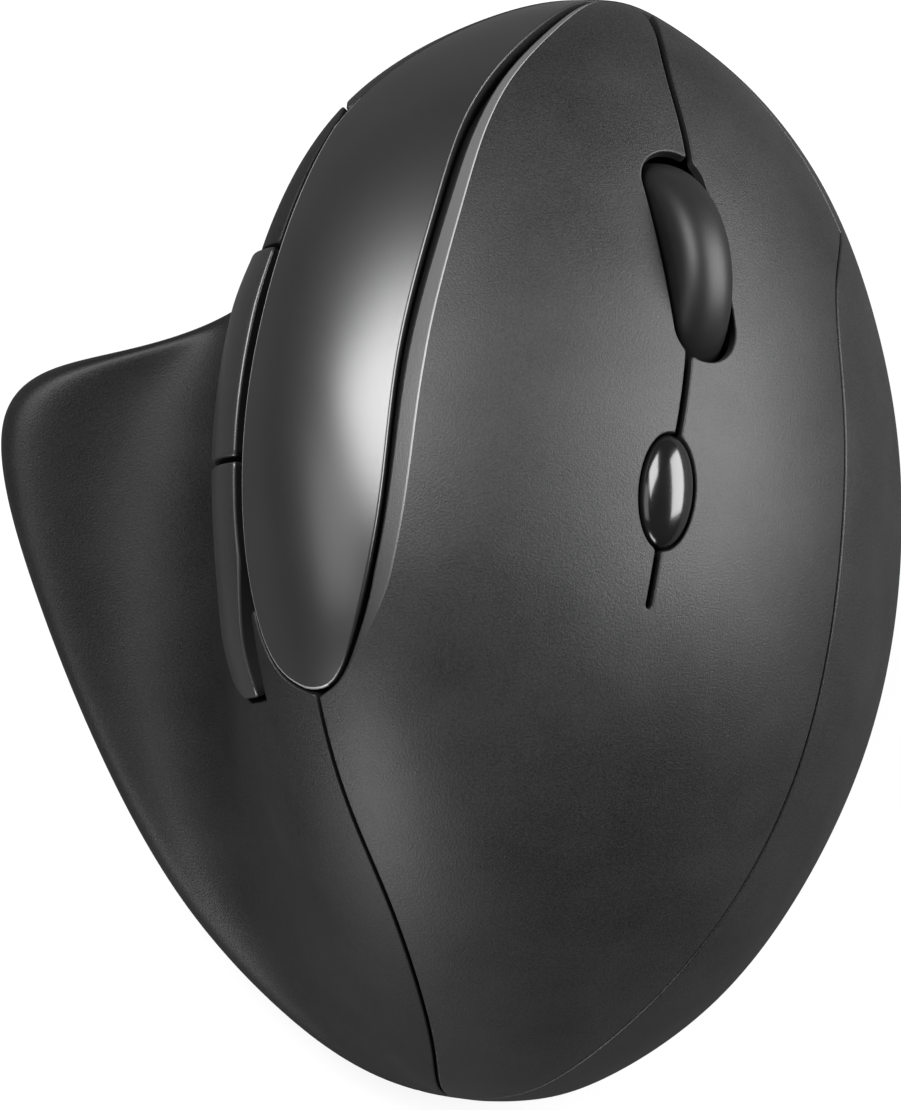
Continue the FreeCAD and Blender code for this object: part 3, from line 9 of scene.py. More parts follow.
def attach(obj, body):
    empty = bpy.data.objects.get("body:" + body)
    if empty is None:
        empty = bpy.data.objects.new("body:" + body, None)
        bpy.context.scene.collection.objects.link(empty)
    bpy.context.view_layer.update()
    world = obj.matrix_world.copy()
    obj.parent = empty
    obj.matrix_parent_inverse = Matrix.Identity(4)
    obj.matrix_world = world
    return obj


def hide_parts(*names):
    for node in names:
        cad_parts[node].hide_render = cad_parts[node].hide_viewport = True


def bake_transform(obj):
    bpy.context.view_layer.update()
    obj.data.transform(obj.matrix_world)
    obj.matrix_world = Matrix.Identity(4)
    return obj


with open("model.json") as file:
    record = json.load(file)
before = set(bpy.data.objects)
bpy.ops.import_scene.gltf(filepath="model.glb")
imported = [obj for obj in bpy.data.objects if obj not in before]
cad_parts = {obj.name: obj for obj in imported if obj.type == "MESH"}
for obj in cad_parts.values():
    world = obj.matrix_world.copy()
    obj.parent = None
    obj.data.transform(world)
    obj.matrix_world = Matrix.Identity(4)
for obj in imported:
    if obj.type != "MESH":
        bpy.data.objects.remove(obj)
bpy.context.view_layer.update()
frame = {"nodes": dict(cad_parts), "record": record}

# %% [markdown]
# # An ergonomic mouse
# The solid parts are already in place as the frame. What the eye judges on such a mouse is its outer
# skin: one flowing form that is cut into covers by thin seams. So most of this lesson is about making
# that skin smooth, and about cutting it so cleanly that each cover gets a softly rounded edge.

# %% Sizes in millimetres
MM = 0.001
LENGTH = 116.8
WIDTH = 95.6
HEIGHT = 63.9
DRAWN = (95.64, 116.8, 63.94)
STRETCH = np.array([WIDTH / DRAWN[0], LENGTH / DRAWN[1], HEIGHT / DRAWN[2]])
CENTRE = np.array([-0.2, -0.2, 0.0])
WALL = 2.2
FOOT = 0.6
FLOOR = 2.6
SEAM = 0.3
print("overall", WIDTH, LENGTH, HEIGHT)


def drawn(x, y, z=0.0):
    """Takes a point as it was drawn to its place on the mouse."""
    return (np.array([x, y, z], float) - CENTRE) * STRETCH


# %% [markdown]
# ## The form
# The real covers are moulded from one sculpted form. Here it is a bicubic B-spline: a net of control
# points pulls a smooth surface after it. A net of twelve rows is enough for a sloped palm, a hollow for
# the thumb and a wing, and it can't show the dents that a surface through many measured points gets.
# The same guides made the solid part.

# %% Guides of the form, from the back of the mouse to the front
ROW_Y = [-58.6, -57.0, -49.0, -37.0, -21.0, -5.0, 11.0, 25.0, 38.0, 49.0, 56.0, 58.2]
CREST = [(6.0, 9.0), (5.5, 18.0), (3.5, 33.0), (1.0, 48.0), (-2.0, 60.0), (-3.5, 65.5),
         (-2.5, 64.0), (0.5, 59.5), (4.0, 52.5), (9.0, 44.0), (14.0, 34.5), (15.0, 27.0)]
RIGHT = [(10.0, 4.0), (16.0, 6.0), (28.5, 10.0), (37.8, 13.0), (45.6, 15.0), (48.8, 16.0),
         (48.9, 17.0), (46.0, 18.0), (41.2, 19.0), (33.0, 20.0), (23.0, 21.0), (18.0, 22.0)]
STRIP = [(2.0, 7.0), (-4.0, 13.0), (-10.0, 22.0), (-16.0, 32.0), (-21.0, 41.0), (-23.5, 44.0),
         (-24.8, 45.0), (-23.0, 44.0), (-19.3, 41.5), (-12.3, 36.5), (0.5, 30.0), (10.5, 25.0)]
THUMB_WALL = [(1.5, -58.6, 6.0), (-5.5, -57.0, 10.5), (-12.5, -49.0, 16.0), (-19.0, -37.0, 22.0),
              (-22.5, -21.0, 27.0), (-22.0, -5.0, 30.0), (-21.0, 10.0, 31.0), (-19.0, 22.0, 31.0),
              (-16.0, 34.0, 30.0), (-10.0, 46.0, 28.0), (1.5, 54.5, 25.0), (11.0, 58.2, 24.0)]
SCOOP = [(1.0, -58.6, 5.0), (-6.5, -57.0, 8.0), (-15.0, -49.0, 10.5), (-22.5, -37.0, 13.5),
         (-26.5, -21.0, 15.5), (-26.0, -5.0, 16.0), (-25.0, 9.5, 16.5), (-22.5, 20.5, 18.0),
         (-17.5, 30.0, 21.0), (-10.5, 43.0, 21.0), (1.5, 53.5, 20.0), (11.0, 58.2, 21.0)]
DISH = [(0.8, -58.6, 4.5), (-7.0, -57.0, 6.5), (-17.0, -49.0, 8.0), (-26.5, -37.0, 9.5),
        (-32.5, -21.0, 10.5), (-35.5, -5.0, 11.0), (-36.5, 10.0, 12.0), (-31.5, 20.0, 13.5),
        (-19.5, 25.0, 17.0), (-11.5, 39.0, 15.0), (2.0, 53.0, 15.0), (12.0, 58.2, 17.0)]
LIP = [(0.5, -58.6, 4.0), (-8.0, -57.0, 5.5), (-18.5, -49.0, 7.0), (-28.8, -37.0, 9.0),
       (-37.0, -21.0, 11.5), (-43.0, -5.0, 13.5), (-47.2, 11.0, 15.0), (-44.0, 20.0, 16.0),
       (-23.0, 23.5, 15.0), (-11.5, 37.5, 10.0), (3.0, 52.5, 10.0), (12.0, 58.2, 13.0)]
EDGE = [(0.2, -58.6, 3.0), (-8.5, -57.0, 3.5), (-19.5, -49.0, 4.0), (-30.5, -37.0, 5.5),
        (-38.8, -21.0, 8.0), (-45.2, -5.0, 10.0), (-50.6, 12.0, 11.0), (-46.8, 21.2, 11.5),
        (-22.5, 22.0, 9.0), (-11.5, 36.0, 6.0), (2.5, 52.0, 6.0), (12.0, 58.2, 9.0)]
BELOW_DESK = -7.0
CAP_BOTTOM = -1.0
TUCK = 0.93


def section(row):
    """Control points of one row, once round the mouse from the crest over the thumb side."""
    y = ROW_Y[row]
    (crest_x, crest_z), (right_x, right_z), (strip_x, strip_z) = CREST[row], RIGHT[row], STRIP[row]
    wall_y = THUMB_WALL[row][1]
    edge_x, edge_y, _ = EDGE[row]
    bottom = CAP_BOTTOM if row in (0, len(ROW_Y) - 1) else BELOW_DESK
    points = [(crest_x, y, crest_z)]
    for angle in (30.0, 62.0):
        across, up = math.sin(math.radians(angle)), math.cos(math.radians(angle))
        points.append((crest_x + (strip_x - crest_x) * across, y + (wall_y - y) * 0.5 * (1 - up),
                       strip_z + (crest_z - strip_z) * up))
    points.append((strip_x, (y + wall_y) / 2, strip_z))
    points += [THUMB_WALL[row], SCOOP[row], DISH[row], LIP[row], EDGE[row]]
    left_foot = crest_x + (edge_x - crest_x) * TUCK
    right_foot = crest_x + (right_x - crest_x) * TUCK
    points += [(left_foot, edge_y * 0.98, bottom / 2), ((left_foot + crest_x) / 2, edge_y * 0.98, bottom),
               (crest_x, y * 0.97, bottom), (crest_x + (right_foot - crest_x) * 0.55, y * 0.97, bottom),
               (right_foot, y * 0.98, bottom / 2), (right_x, y, right_z * 0.62)]
    for angle in (20.0, 40.0, 58.0, 75.0):
        across, up = math.cos(math.radians(angle)), math.sin(math.radians(angle))
        points.append((crest_x + (right_x - crest_x) * across, y, right_z + (crest_z - right_z) * up))
    return [drawn(*p) for p in points]


rows = [section(row) for row in range(len(ROW_Y))]
AROUND = len(rows[0])
tips = [np.array([np.mean([p[0] for p in row]), row[0][1], np.mean([p[2] for p in row])])
        for row in (rows[0], rows[-1])]
NET = np.array([[tips[0]] * AROUND] + rows + [[tips[1]] * AROUND])
SPANS = len(NET) - 3
print("net", NET.shape)

# %% [markdown]
# Between control points, each place on the surface is a weighted mean of sixteen of them. Round the
# mouse the weights repeat, and from back to front they are clamped, so that the surface ends at its two
# tips. The slopes of the same weights give the exact direction that the surface faces, and exact
# normals are what keep gloss clean.

# %% Evaluating the form


def round_weights(u):
    """Four weights, their slopes, and the columns they belong to, once round the mouse."""
    k = np.floor(u).astype(int)
    t = u - k
    w = np.stack([(1 - t) ** 3, 3 * t ** 3 - 6 * t ** 2 + 4,
                  -3 * t ** 3 + 3 * t ** 2 + 3 * t + 1, t ** 3], -1) / 6
    s = np.stack([-(1 - t) ** 2, 3 * t ** 2 - 4 * t, -3 * t ** 2 + 2 * t + 1, t ** 2], -1) / 2
    return w, s, (k[:, None] + np.arange(4)) % AROUND


KNOTS = np.array([0.0] * 4 + list(range(1, SPANS)) + [float(SPANS)] * 4)


def long_weights(v):
    """Weights and slopes of all rows, from back to front."""
    v = np.clip(v, 0.0, SPANS - 1e-9)
    level = [((KNOTS[i] <= v) & (v < KNOTS[i + 1])).astype(float) for i in range(len(KNOTS) - 1)]
    slopes = None
    for degree in (1, 2, 3):
        new, slopes = [], []
        for i in range(len(level) - 1):
            a, b = KNOTS[i + degree] - KNOTS[i], KNOTS[i + degree + 1] - KNOTS[i + 1]
            left = level[i] / a if a else 0 * v
            right = level[i + 1] / b if b else 0 * v
            new.append(left * (v - KNOTS[i]) + right * (KNOTS[i + degree + 1] - v))
            slopes.append(degree * (left - right))
        level = new
    return np.stack(level, -1), np.stack(slopes, -1)


def skin_at(u, v):
    """Point and outward normal of the form at each pair of parameters."""
    w, s, columns = round_weights(u)
    a, b = long_weights(v)
    near = NET[:, columns, :]
    point = np.einsum("nr,rnck,nc->nk", a, near, w)
    du = np.einsum("nr,rnck,nc->nk", a, near, s)
    dv = np.einsum("nr,rnck,nc->nk", b, near, w)
    normal = np.cross(dv, du)
    size = np.linalg.norm(normal, axis=1, keepdims=True)
    end = np.stack([0 * v, np.where(v < SPANS / 2, -1.0, 1.0), 0 * v], -1)
    return point, np.where(size > 1e-4, normal / np.maximum(size, 1e-9), end), du, dv


top_point, top_normal, _, _ = skin_at(np.array([0.0]), np.array([5.0]))
FACING = 1.0 if top_normal[0, 2] > 0 else -1.0
print("crest", top_point.round(2), "faces", (top_normal * FACING).round(2))


class Sheet:
    """A grid of points over a surface, from which covers are cut."""

    def __init__(self, at, u, v, closed):
        self.at, self.u, self.v, self.closed = at, u, v, closed
        uu, vv = np.meshgrid(u, v, indexing="ij")
        self.uv = np.stack([uu.ravel(), vv.ravel()], -1)
        self.points, self.normals, _, _ = at(self.uv[:, 0], self.uv[:, 1])
        rows, columns = len(v), len(u)
        wide = columns if closed else columns - 1
        i, j = (m.ravel() for m in np.meshgrid(np.arange(wide), np.arange(rows - 1), indexing="ij"))
        k = (i + 1) % columns
        self.quads = np.stack([i * rows + j, k * rows + j, k * rows + j + 1, i * rows + j + 1], -1)
        a, b, c = (self.points[self.quads[:, n]] for n in (0, 1, 2))
        flat = np.einsum("nk,nk->n", np.cross(b - a, c - b), self.normals[self.quads[:, 0]])
        if np.median(flat) < 0:
            self.quads = self.quads[:, ::-1]


def outward_skin(u, v):
    """The form with its normals turned out of the mouse."""
    p, n, du, dv = skin_at(u, v)
    return p, n * FACING, du, dv


FINE = 14


def steps_between(stops, closer):
    """Even steps between stops, closer in the middle stretch, where slit, slot and oval button lie."""
    counts = (FINE, FINE * closer, FINE)
    return np.concatenate([np.linspace(a, b, round((b - a) * n), endpoint=False)
                           for a, b, n in zip(stops, stops[1:], counts)])


around_steps = steps_between((0.0, 15.25, 17.0, AROUND), 3)
long_steps = np.append(steps_between((0.0, 4.75, 10.5, SPANS), 3), SPANS)
skin = Sheet(outward_skin, around_steps, long_steps, True)
tree = BVHTree.FromPolygons([Vector(p) for p in skin.points], [tuple(q) for q in skin.quads])
print("skin points", len(skin.points), "box", skin.points.min(0).round(2), skin.points.max(0).round(2))

# %% [markdown]
# ## Seams
# A seam is drawn in plan and dropped on to the skin. A cover is then everything on one side of its
# seams, less half the gap. Each side is a signed distance, in millimetres: positive inside the cover.
# Such distances are easy to combine, because the smaller of two is what lies inside both, and a soft
# minimum rounds the corner between them.

# %% Points on the skin, and lines through them
HIGH_ABOVE = 200.0


def lift(x, y):
    """The skin straight above a drawn x and y: its point and the way it faces."""
    at = drawn(x, y)
    hit, normal, _, _ = tree.ray_cast(Vector((at[0], at[1], HIGH_ABOVE)), Vector((0, 0, -1)))
    return np.array(hit), np.array(normal)


def unit(v):
    """A vector, or each row of vectors, at length one."""
    v = np.asarray(v, float)
    return v / np.maximum(np.linalg.norm(v, axis=-1, keepdims=True), 1e-9)


def smooth_line(points, count):
    """Even-running curve through points, as a fine polyline."""
    points = np.asarray(points, float)
    t = np.concatenate([[0], np.cumsum(np.linalg.norm(np.diff(points, axis=0), axis=1))])
    n = len(t)
    h = np.diff(t)
    a = np.eye(n)
    r = np.zeros_like(points)
    for i in range(1, n - 1):
        a[i, i - 1:i + 2] = h[i - 1], 2 * (h[i - 1] + h[i]), h[i]
        r[i] = 6 * ((points[i + 1] - points[i]) / h[i] - (points[i] - points[i - 1]) / h[i - 1])
    m = np.linalg.solve(a, r)
    x = np.linspace(0, t[-1], count)
    i = np.clip(np.searchsorted(t, x) - 1, 0, n - 2)
    p, q = (t[i + 1] - x)[:, None], (x - t[i])[:, None]
    g = h[i][:, None]
    return (m[i] * p ** 3 + m[i + 1] * q ** 3) / (6 * g) + (points[i] / g - m[i] * g / 6) * p \
        + (points[i + 1] / g - m[i + 1] * g / 6) * q


LINE_POINTS = 90
RUN_ON = 40.0
BATCH = 8192


class Seam:
    """A line on the skin, seen square to the way that the skin faces along it."""

    def __init__(self, runs, out=None):
        lifted = [[lift(*p) for p in run] for run in runs]
        out = unit(sum(n for run in lifted for _, n in run) if out is None else out)
        self.up = unit(np.array([0, 1, 0]) - out * out[1])
        self.side = np.cross(self.up, out)
        lines = [smooth_line(self.flat(np.array([p for p, _ in run])), LINE_POINTS) for run in lifted]
        line = np.concatenate([lines[0]] + [more[1:] for more in lines[1:]])
        ahead, behind = unit(line[0] - line[3]), unit(line[-1] - line[-4])
        line = np.concatenate([[line[0] + ahead * RUN_ON], line, [line[-1] + behind * RUN_ON]])
        self.a, self.step = line[:-1], np.diff(line, axis=0)
        self.long = np.linalg.norm(self.step, axis=1)
        self.n = np.stack([-self.step[:, 1], self.step[:, 0]], -1) / self.long[:, None]
        self.start = lifted[0][0][0]
        self.known = None

    def flat(self, p):
        return np.stack([p @ self.side, p @ self.up], -1)

    def left(self, p):
        """Signed distance of points from the line, positive to the left of its run."""
        if self.known is not None and self.known[0] is p:
            return self.known[1].copy()
        q = self.flat(p)
        out = np.empty(len(q))
        for lo in range(0, len(q), BATCH):
            d = q[lo:lo + BATCH, None, :] - self.a[None]
            t = np.clip((d * self.step).sum(2) / self.long ** 2, 0, 1)
            d -= t[:, :, None] * self.step
            k = np.argmin((d ** 2).sum(2), axis=1)
            here = np.arange(len(k))
            near, tk = d[here, k], t[here, k]
            other = np.clip(k + np.where(tk >= 1, 1, np.where(tk <= 0, -1, 0)), 0, len(self.n) - 1)
            normal = self.n[k] + self.n[other]
            out[lo:lo + BATCH] = np.linalg.norm(near, axis=1) * np.sign((near * normal).sum(1))
        if p is skin.points:
            self.known = (p, out.copy())
        return out


# %% Soft corners


def both(a, b, soft=0.5):
    """Inside both: the smaller distance, with a rounded corner."""
    h = np.maximum(soft - np.abs(a - b), 0) / soft
    return np.minimum(a, b) - h * h * soft / 4


def either(a, b, soft=0.5):
    """Inside one or the other, with a rounded corner."""
    return -both(-a, -b, soft)


def eased(t):
    """A share from nought to one, with a soft start and a soft end."""
    t = np.clip(t, 0, 1)
    return t * t * (3 - 2 * t)


print("soft corner of 1 and 1", both(1.0, 1.0))

# %% The seams, drawn in plan
RIDGE = [(12.9, 57.1), (4.9, 49.5), (-0.7, 36.8), (-4.9, 20.8), (-7.1, 4.5), (-8.9, -4.6), (-10.2, -9.6),
         (-11.7, -12.9), (-13.6, -14.4)]
BACK_SEAM = [(-13.6, -14.4), (-11.0, -24.3), (-6.7, -35.2), (-3.7, -44.3), (-1.9, -52.9), (-1.2, -57.0)]
PANEL_EDGE = [(-13.6, -14.4), (-17.2, -12.4), (-20.3, -5.1), (-21.5, 8.0), (-18.9, 26.9), (-15.4, 37.6),
              (-10.8, 45.9)]
RIGHT_SEAM = [(40.7, 34.5), (39.8, 27.0), (40.4, 14.0), (40.1, 2.0), (38.2, -12.5), (35.0, -24.2),
              (29.4, -35.7), (21.8, -45.8), (13.6, -53.5), (7.0, -57.4)]
SLIT = [(20.9, 55.4), (22.1, 50.2), (24.1, 41.4), (24.4, 30.0), (23.5, 16.0), (21.8, 6.5), (19.8, -5.2)]
WHEEL_XY = (24.4, 30.5)
OVAL_XY = (21.7, 6.2)


class Stand:
    """Local frame on the skin: x to the right, y to the front, z out of the mouse."""

    def __init__(self, x, y):
        self.origin, normal = lift(x, y)
        self.z = unit(normal)
        self.y = unit(np.array([0, 1, 0]) - self.z * self.z[1])
        self.x = np.cross(self.y, self.z)

    def local(self, p):
        d = p - self.origin
        return d @ self.x, d @ self.y, d @ self.z

    def world(self, p):
        p = np.asarray(p, float)
        return self.origin + p[..., 0:1] * self.x + p[..., 1:2] * self.y + p[..., 2:3] * self.z


wheel_stand = Stand(*WHEEL_XY)
oval_stand = Stand(*OVAL_XY)
ridge = Seam([RIDGE, BACK_SEAM])
panel_edge = Seam([PANEL_EDGE])
right_seam = Seam([RIGHT_SEAM])
slit = Seam([SLIT], wheel_stand.z)
HINGE_Y = drawn(0, -5.0)[1]
print("wheel frame", wheel_stand.origin.round(2), wheel_stand.z.round(3))

# %% Slot, oval button and nose
NOSE_GAP = 1.3
WHEEL_RADIUS, WHEEL_WIDTH, WHEEL_PROUD = 12.5, 6.0, 4.0
SLOT_HALF = WHEEL_WIDTH / 2 + 0.7
SLOT_ENDS = 2.5
SLOT_REACH = math.sqrt(WHEEL_RADIUS ** 2 - (WHEEL_RADIUS - WHEEL_PROUD) ** 2) + SLOT_ENDS - SLOT_HALF
OVAL_HALF = np.array([2.9, 5.7])
OVAL_GAP = 0.35
OVAL_LEAN = math.radians(8.0)
NOSE_X, NOSE_Z, LEDGE_X, LEDGE_Z, NOSE_BACK = 13.0, 24.5, -11.0, 40.0, 31.0
FINGERS_LEAN = 0.1
GROOVE_Y = [-20.0, -14.0, -5.0, 7.5, 18.5, 29.0, 37.0, 45.0, 54.0, 58.0]
GROOVE_HALF = [0.15, 0.15, 0.21, 0.26, 0.36, 0.46, 0.53, 0.62, 0.5, 0.35]
slope = unit([drawn(LEDGE_X, 0)[0] - drawn(NOSE_X, 0)[0], (LEDGE_Z - NOSE_Z) * STRETCH[2]])


def nose(p):
    """Under the front edge of the keys and of the panel."""
    x, y, z = p.T
    level = NOSE_Z * STRETCH[2] - z
    sloped = (x - drawn(NOSE_X, 0)[0]) * slope[1] * -1 + (z - NOSE_Z * STRETCH[2]) * slope[0]
    line = np.where(x > drawn(NOSE_X, 0)[0], level, np.maximum(sloped, level))
    return np.minimum(np.minimum(y - drawn(0, NOSE_BACK)[1], x - drawn(LEDGE_X, 0)[0]), line)


def fingers(p):
    """The wall on the little-finger side, outside its seam."""
    front = right_seam.start[1] + (p[:, 0] - right_seam.start[0]) * FINGERS_LEAN - p[:, 1]
    return np.minimum(right_seam.left(p), front)


def groove(p):
    """Half the gap along the ridge, which narrows towards both ends and becomes the back seam."""
    return np.interp(p[:, 1], GROOVE_Y, GROOVE_HALF)


def slot(p):
    """Outside the wheel's slot, which has straight sides and round ends."""
    x, y, _ = wheel_stand.local(p)
    return np.hypot(x, np.maximum(np.abs(y) - SLOT_REACH, 0)) - SLOT_HALF


def oval(p):
    """Outside the oval button's outline, which leans along the slit."""
    across, along, _ = oval_stand.local(p)
    x = across * math.cos(OVAL_LEAN) - along * math.sin(OVAL_LEAN)
    y = across * math.sin(OVAL_LEAN) + along * math.cos(OVAL_LEAN)
    half = OVAL_HALF + OVAL_GAP
    k = np.hypot(x / half[0], y / half[1])
    return k * (k - 1) / np.maximum(np.hypot(x / half[0] ** 2, y / half[1] ** 2), 1e-6)


def top_cover(p):
    """The cover over palm and fingers, before it is parted into keys."""
    f = both(ridge.left(p) - groove(p), -fingers(p) - SEAM)
    return both(both(f, -nose(p) - NOSE_GAP), p[:, 2] - FLOOR - SEAM)


print("groove half at the middle", groove(np.zeros((1, 3))).round(2))

# %% Outlines of the thumb buttons
FORWARD = [(8.6, 38.6), (10.6, 60.0), (26.0, 60.0), (31.4, 48.0), (30.6, 42.4), (26.0, 39.8), (17.0, 38.6)]
BACK = [(7.8, 38.6), (9.4, 53.0), (-4.6, 51.9), (-14.7, 50.3), (-15.0, 46.0), (-13.2, 41.4), (-3.0, 39.2)]
BUTTON_TO_PANEL = 0.5
BUTTON_REACH = -9.0


def outline(corners):
    """Signed distance inside a rounded outline drawn on the thumb wall, as y and z."""
    ring = np.array([drawn(0, y, z)[1:] for y, z in corners])
    area = np.sum(ring[:, 0] * np.roll(ring[:, 1], -1) - np.roll(ring[:, 0], -1) * ring[:, 1])
    if area < 0:
        ring = ring[::-1]

    def inside(p):
        f = None
        for a, b in zip(ring, np.roll(ring, -1, axis=0)):
            run = unit(b - a)
            side = run[0] * (p[:, 2] - a[1]) - run[1] * (p[:, 1] - a[0])
            f = side if f is None else both(f, side, 0.4)
        f = both(f, panel_edge.left(p) - BUTTON_TO_PANEL, 0.1)
        return both(f, drawn(BUTTON_REACH, 0)[0] - p[:, 0], 0.8)
    return inside


forward_outline, back_outline = outline(FORWARD), outline(BACK)
print("nose at the ledge", nose(np.array([drawn(0, 50, 20)])).round(2))

# %% [markdown]
# ## Cutting a cover
# The skin's grid is cut where a cover's distance reaches the radius of its edge. From there a few rows
# of points roll over the edge, drop through the wall and come back underneath, so each cover is a
# closed shell with real thickness. A boolean would cut as well, but it leaves a knife edge, and a
# rounded edge is what shows a seam.

# %% Where the rim runs


def cross_edges(sheet, f, rule, a, b):
    """Where the distance changes sign between pairs of grid points, found to a hair by false position."""
    ua, ub = sheet.uv[a].copy(), sheet.uv[b].copy()
    if sheet.closed:
        ub[:, 0] += np.where(ub[:, 0] - ua[:, 0] < -AROUND / 2, AROUND, 0)
        ub[:, 0] -= np.where(ub[:, 0] - ua[:, 0] > AROUND / 2, AROUND, 0)
    lo, hi = np.zeros(len(a)), np.ones(len(a))
    flo, fhi = f[a], f[b]
    for _ in range(3):
        t = lo + (hi - lo) * np.clip(flo / (flo - fhi), 0.02, 0.98)
        uv = ua + (ub - ua) * t[:, None]
        ft = rule(sheet.at(uv[:, 0], uv[:, 1])[0])
        same = np.sign(ft) == np.sign(flo)
        lo, flo = np.where(same, t, lo), np.where(same, ft, flo)
        hi, fhi = np.where(same, hi, t), np.where(same, fhi, ft)
    t = np.clip(lo + (hi - lo) * flo / (flo - fhi + 1e-12), 0.001, 0.999)
    return ua + (ub - ua) * t[:, None]


STEEP = (0.45, 1.2)


def outwards(rule, p, n):
    """Direction along the sheet in which a distance grows, and how fast it does."""
    tangent = unit(np.cross(n, np.array([0.3, 0.9, 0.2])))
    h = 0.04
    ways = (tangent, np.cross(n, tangent))
    g = sum((rule(p + way * h) - rule(p - way * h))[:, None] / (2 * h) * way for way in ways)
    return unit(g), np.clip(np.linalg.norm(g, axis=1), *STEEP)


# %% [markdown]
# The rim is the line where a sheet is cut. Each of its points knows which way leads out over the edge, and
# how far it has to go for each millimetre. Where two straight runs of a rim meet, an extra point is put
# between the grid's own, as in a mitred frame, or the corner would be cut off.

# %% The rim of a cover
SHARP_TURN = 0.8
CORNER_REACH = 1.5
MITRE_LIMIT = 1.6


class Rim:
    """Points along the edge of a cover."""

    def __init__(self, sheet, uv, rule, flush):
        self.sheet = sheet
        self.put(uv)
        self.inward, self.steep = outwards(rule, self.p, self.n)
        self.square = flush(self.p) if flush else np.zeros(len(uv))
        self.mitre = np.ones(len(uv))

    def put(self, uv):
        self.uv = uv
        self.p, self.n, du, dv = self.sheet.at(uv[:, 0], uv[:, 1])
        self.slopes = np.stack([du, dv], -1)

    def corner(self, a, b):
        """Place, way in, mitre and squareness of a corner between rim points a and b, if there is one."""
        ga, gb, across = self.inward[a], self.inward[b], self.p[b] - self.p[a]
        span = np.linalg.norm(across)
        along = np.cross(self.n[a], ga)
        turn = along @ gb
        if ga @ gb > SHARP_TURN or abs(turn) < 0.4 or span < 1e-4:
            return None
        step = along * ((across @ gb) / turn)
        if max(np.linalg.norm(step), np.linalg.norm(step - across)) > CORNER_REACH * span:
            return None
        uv = self.uv[a] + np.linalg.lstsq(self.slopes[a], step, rcond=None)[0]
        if (self.square[a] > 0.5) != (self.square[b] > 0.5):
            way, mitre = gb if self.square[a] > 0.5 else ga, 1.0
        else:
            way = unit(ga + gb)
            mitre = min(1 / max(way @ ga, 0.5), MITRE_LIMIT)
        return uv, way, mitre, min(self.square[a], self.square[b])

    def extend(self, corners):
        """Takes in the corners that were found."""
        uv, inward, mitre, square = (np.array(part) for part in zip(*corners))
        self.put(np.concatenate([self.uv, uv]))
        self.inward, self.mitre = np.concatenate([self.inward, inward]), np.concatenate([self.mitre, mitre])
        self.steep = np.concatenate([self.steep, np.ones(len(uv))])
        self.square = np.concatenate([self.square, square])

    def moved(self, s):
        """The rim's points and normals, moved outwards over the sheet by s."""
        way = -self.inward * (s * self.mitre / self.steep)[:, None]
        step = np.einsum("nij,nj->ni", np.linalg.pinv(self.slopes), way)
        limit = np.maximum(np.abs(step).max(1, keepdims=True) / 1.5, 1)
        q = self.uv + step / limit
        return self.sheet.at(q[:, 0], q[:, 1])[:2]


# %% Trimming the quads that the rim crosses


def trimmed(mixed, f, pairs, rim, base):
    """What is left of each crossed quad, and the runs of the rim. Rim points are numbered from base."""
    faces, runs, corners = [], [], []
    for quad in mixed:
        ring, leave = [], []
        for a, b in zip(quad, np.roll(quad, -1)):
            if f[a] > 0:
                ring.append(a)
            if (f[a] > 0) != (f[b] > 0):
                if f[a] > 0:
                    leave.append(len(ring))
                ring.append(base + pairs[(min(a, b), max(a, b))])
        following = [ring[(i + 1) % len(ring)] for i in leave]
        for i, after in reversed(list(zip(leave, following))):
            found = rim.corner(ring[i] - base, after - base) if len(leave) == 1 else None
            if found is None:
                runs.append((ring[i] - base, after - base))
                continue
            extra = base + len(rim.uv) + len(corners)
            corners.append(found)
            runs += [(ring[i] - base, extra - base), (extra - base, after - base)]
            ring.insert(i + 1, extra)
        faces.append(ring)
    if corners:
        rim.extend(corners)
    return faces, runs


# %% [markdown]
# The edge itself is made of rows of points. First come the rows of a bevel, where a cover has one, then the
# rows that roll over the edge, then the foot of the wall. Each face remembers what it is, so that the walls
# of a seam can be painted near-black, as painted shade for the shade in the narrow gaps, and a crease or a
# bevel can get painted light.

# %% The rows of an edge
BEVEL_ROWS = ((0.06, 0.015, 0.5), (0.12, 0.08, 1.0), (0.5, 0.5, 1.0), (1.0, 1.0, 1.0))
CREASE_ROWS = 2
ROLL_ROWS = [(math.sin(a), 1 - math.cos(a)) for a in np.radians([30, 60, 90])]
WALL_ROWS = 2
FOOT_SHARE = 0.96
# Kinds of face. The walls of the cut get painted shade, the first rows of a crease a painted highlight, and
# a bevel painted light.
OUTSIDE, CUT, CREASE_HIGHLIGHT, BEVEL = range(4)
print("rows of an edge", len(BEVEL_ROWS) + len(ROLL_ROWS) + WALL_ROWS)


def edge_rows(rim, edge, bevel, wall):
    """Points and normals of each row. A square edge goes straight down where the rim is."""
    wide, drop = bevel if bevel else (0 * rim.mitre, 0 * rim.mitre)
    rows = []
    if bevel:
        slope = drop / np.maximum(wide, 1e-6)
        for share, sink, turn in BEVEL_ROWS:
            p, n = rim.moved(wide * share)
            rows.append((p - n * (drop * sink)[:, None], n - rim.inward * (slope * turn)[:, None]))
    for out, down in ROLL_ROWS:
        p, n = rim.moved(wide + edge * out)
        down = edge * down * (1 - rim.square) + drop
        rows.append((p - n * down[:, None], n * math.sqrt(max(1 - out * out, 0)) - rim.inward * out))
    p, n = rim.moved(wide + edge)
    rows.append((p - n * (wall * FOOT_SHARE)[:, None], -rim.inward))
    for p, n in rows:
        stay = rim.p - rim.n * np.einsum("nk,nk->n", rim.p - p, rim.n)[:, None]
        yield p + (stay - p) * rim.square[:, None], unit(n)


# %% From a sheet to a closed shell


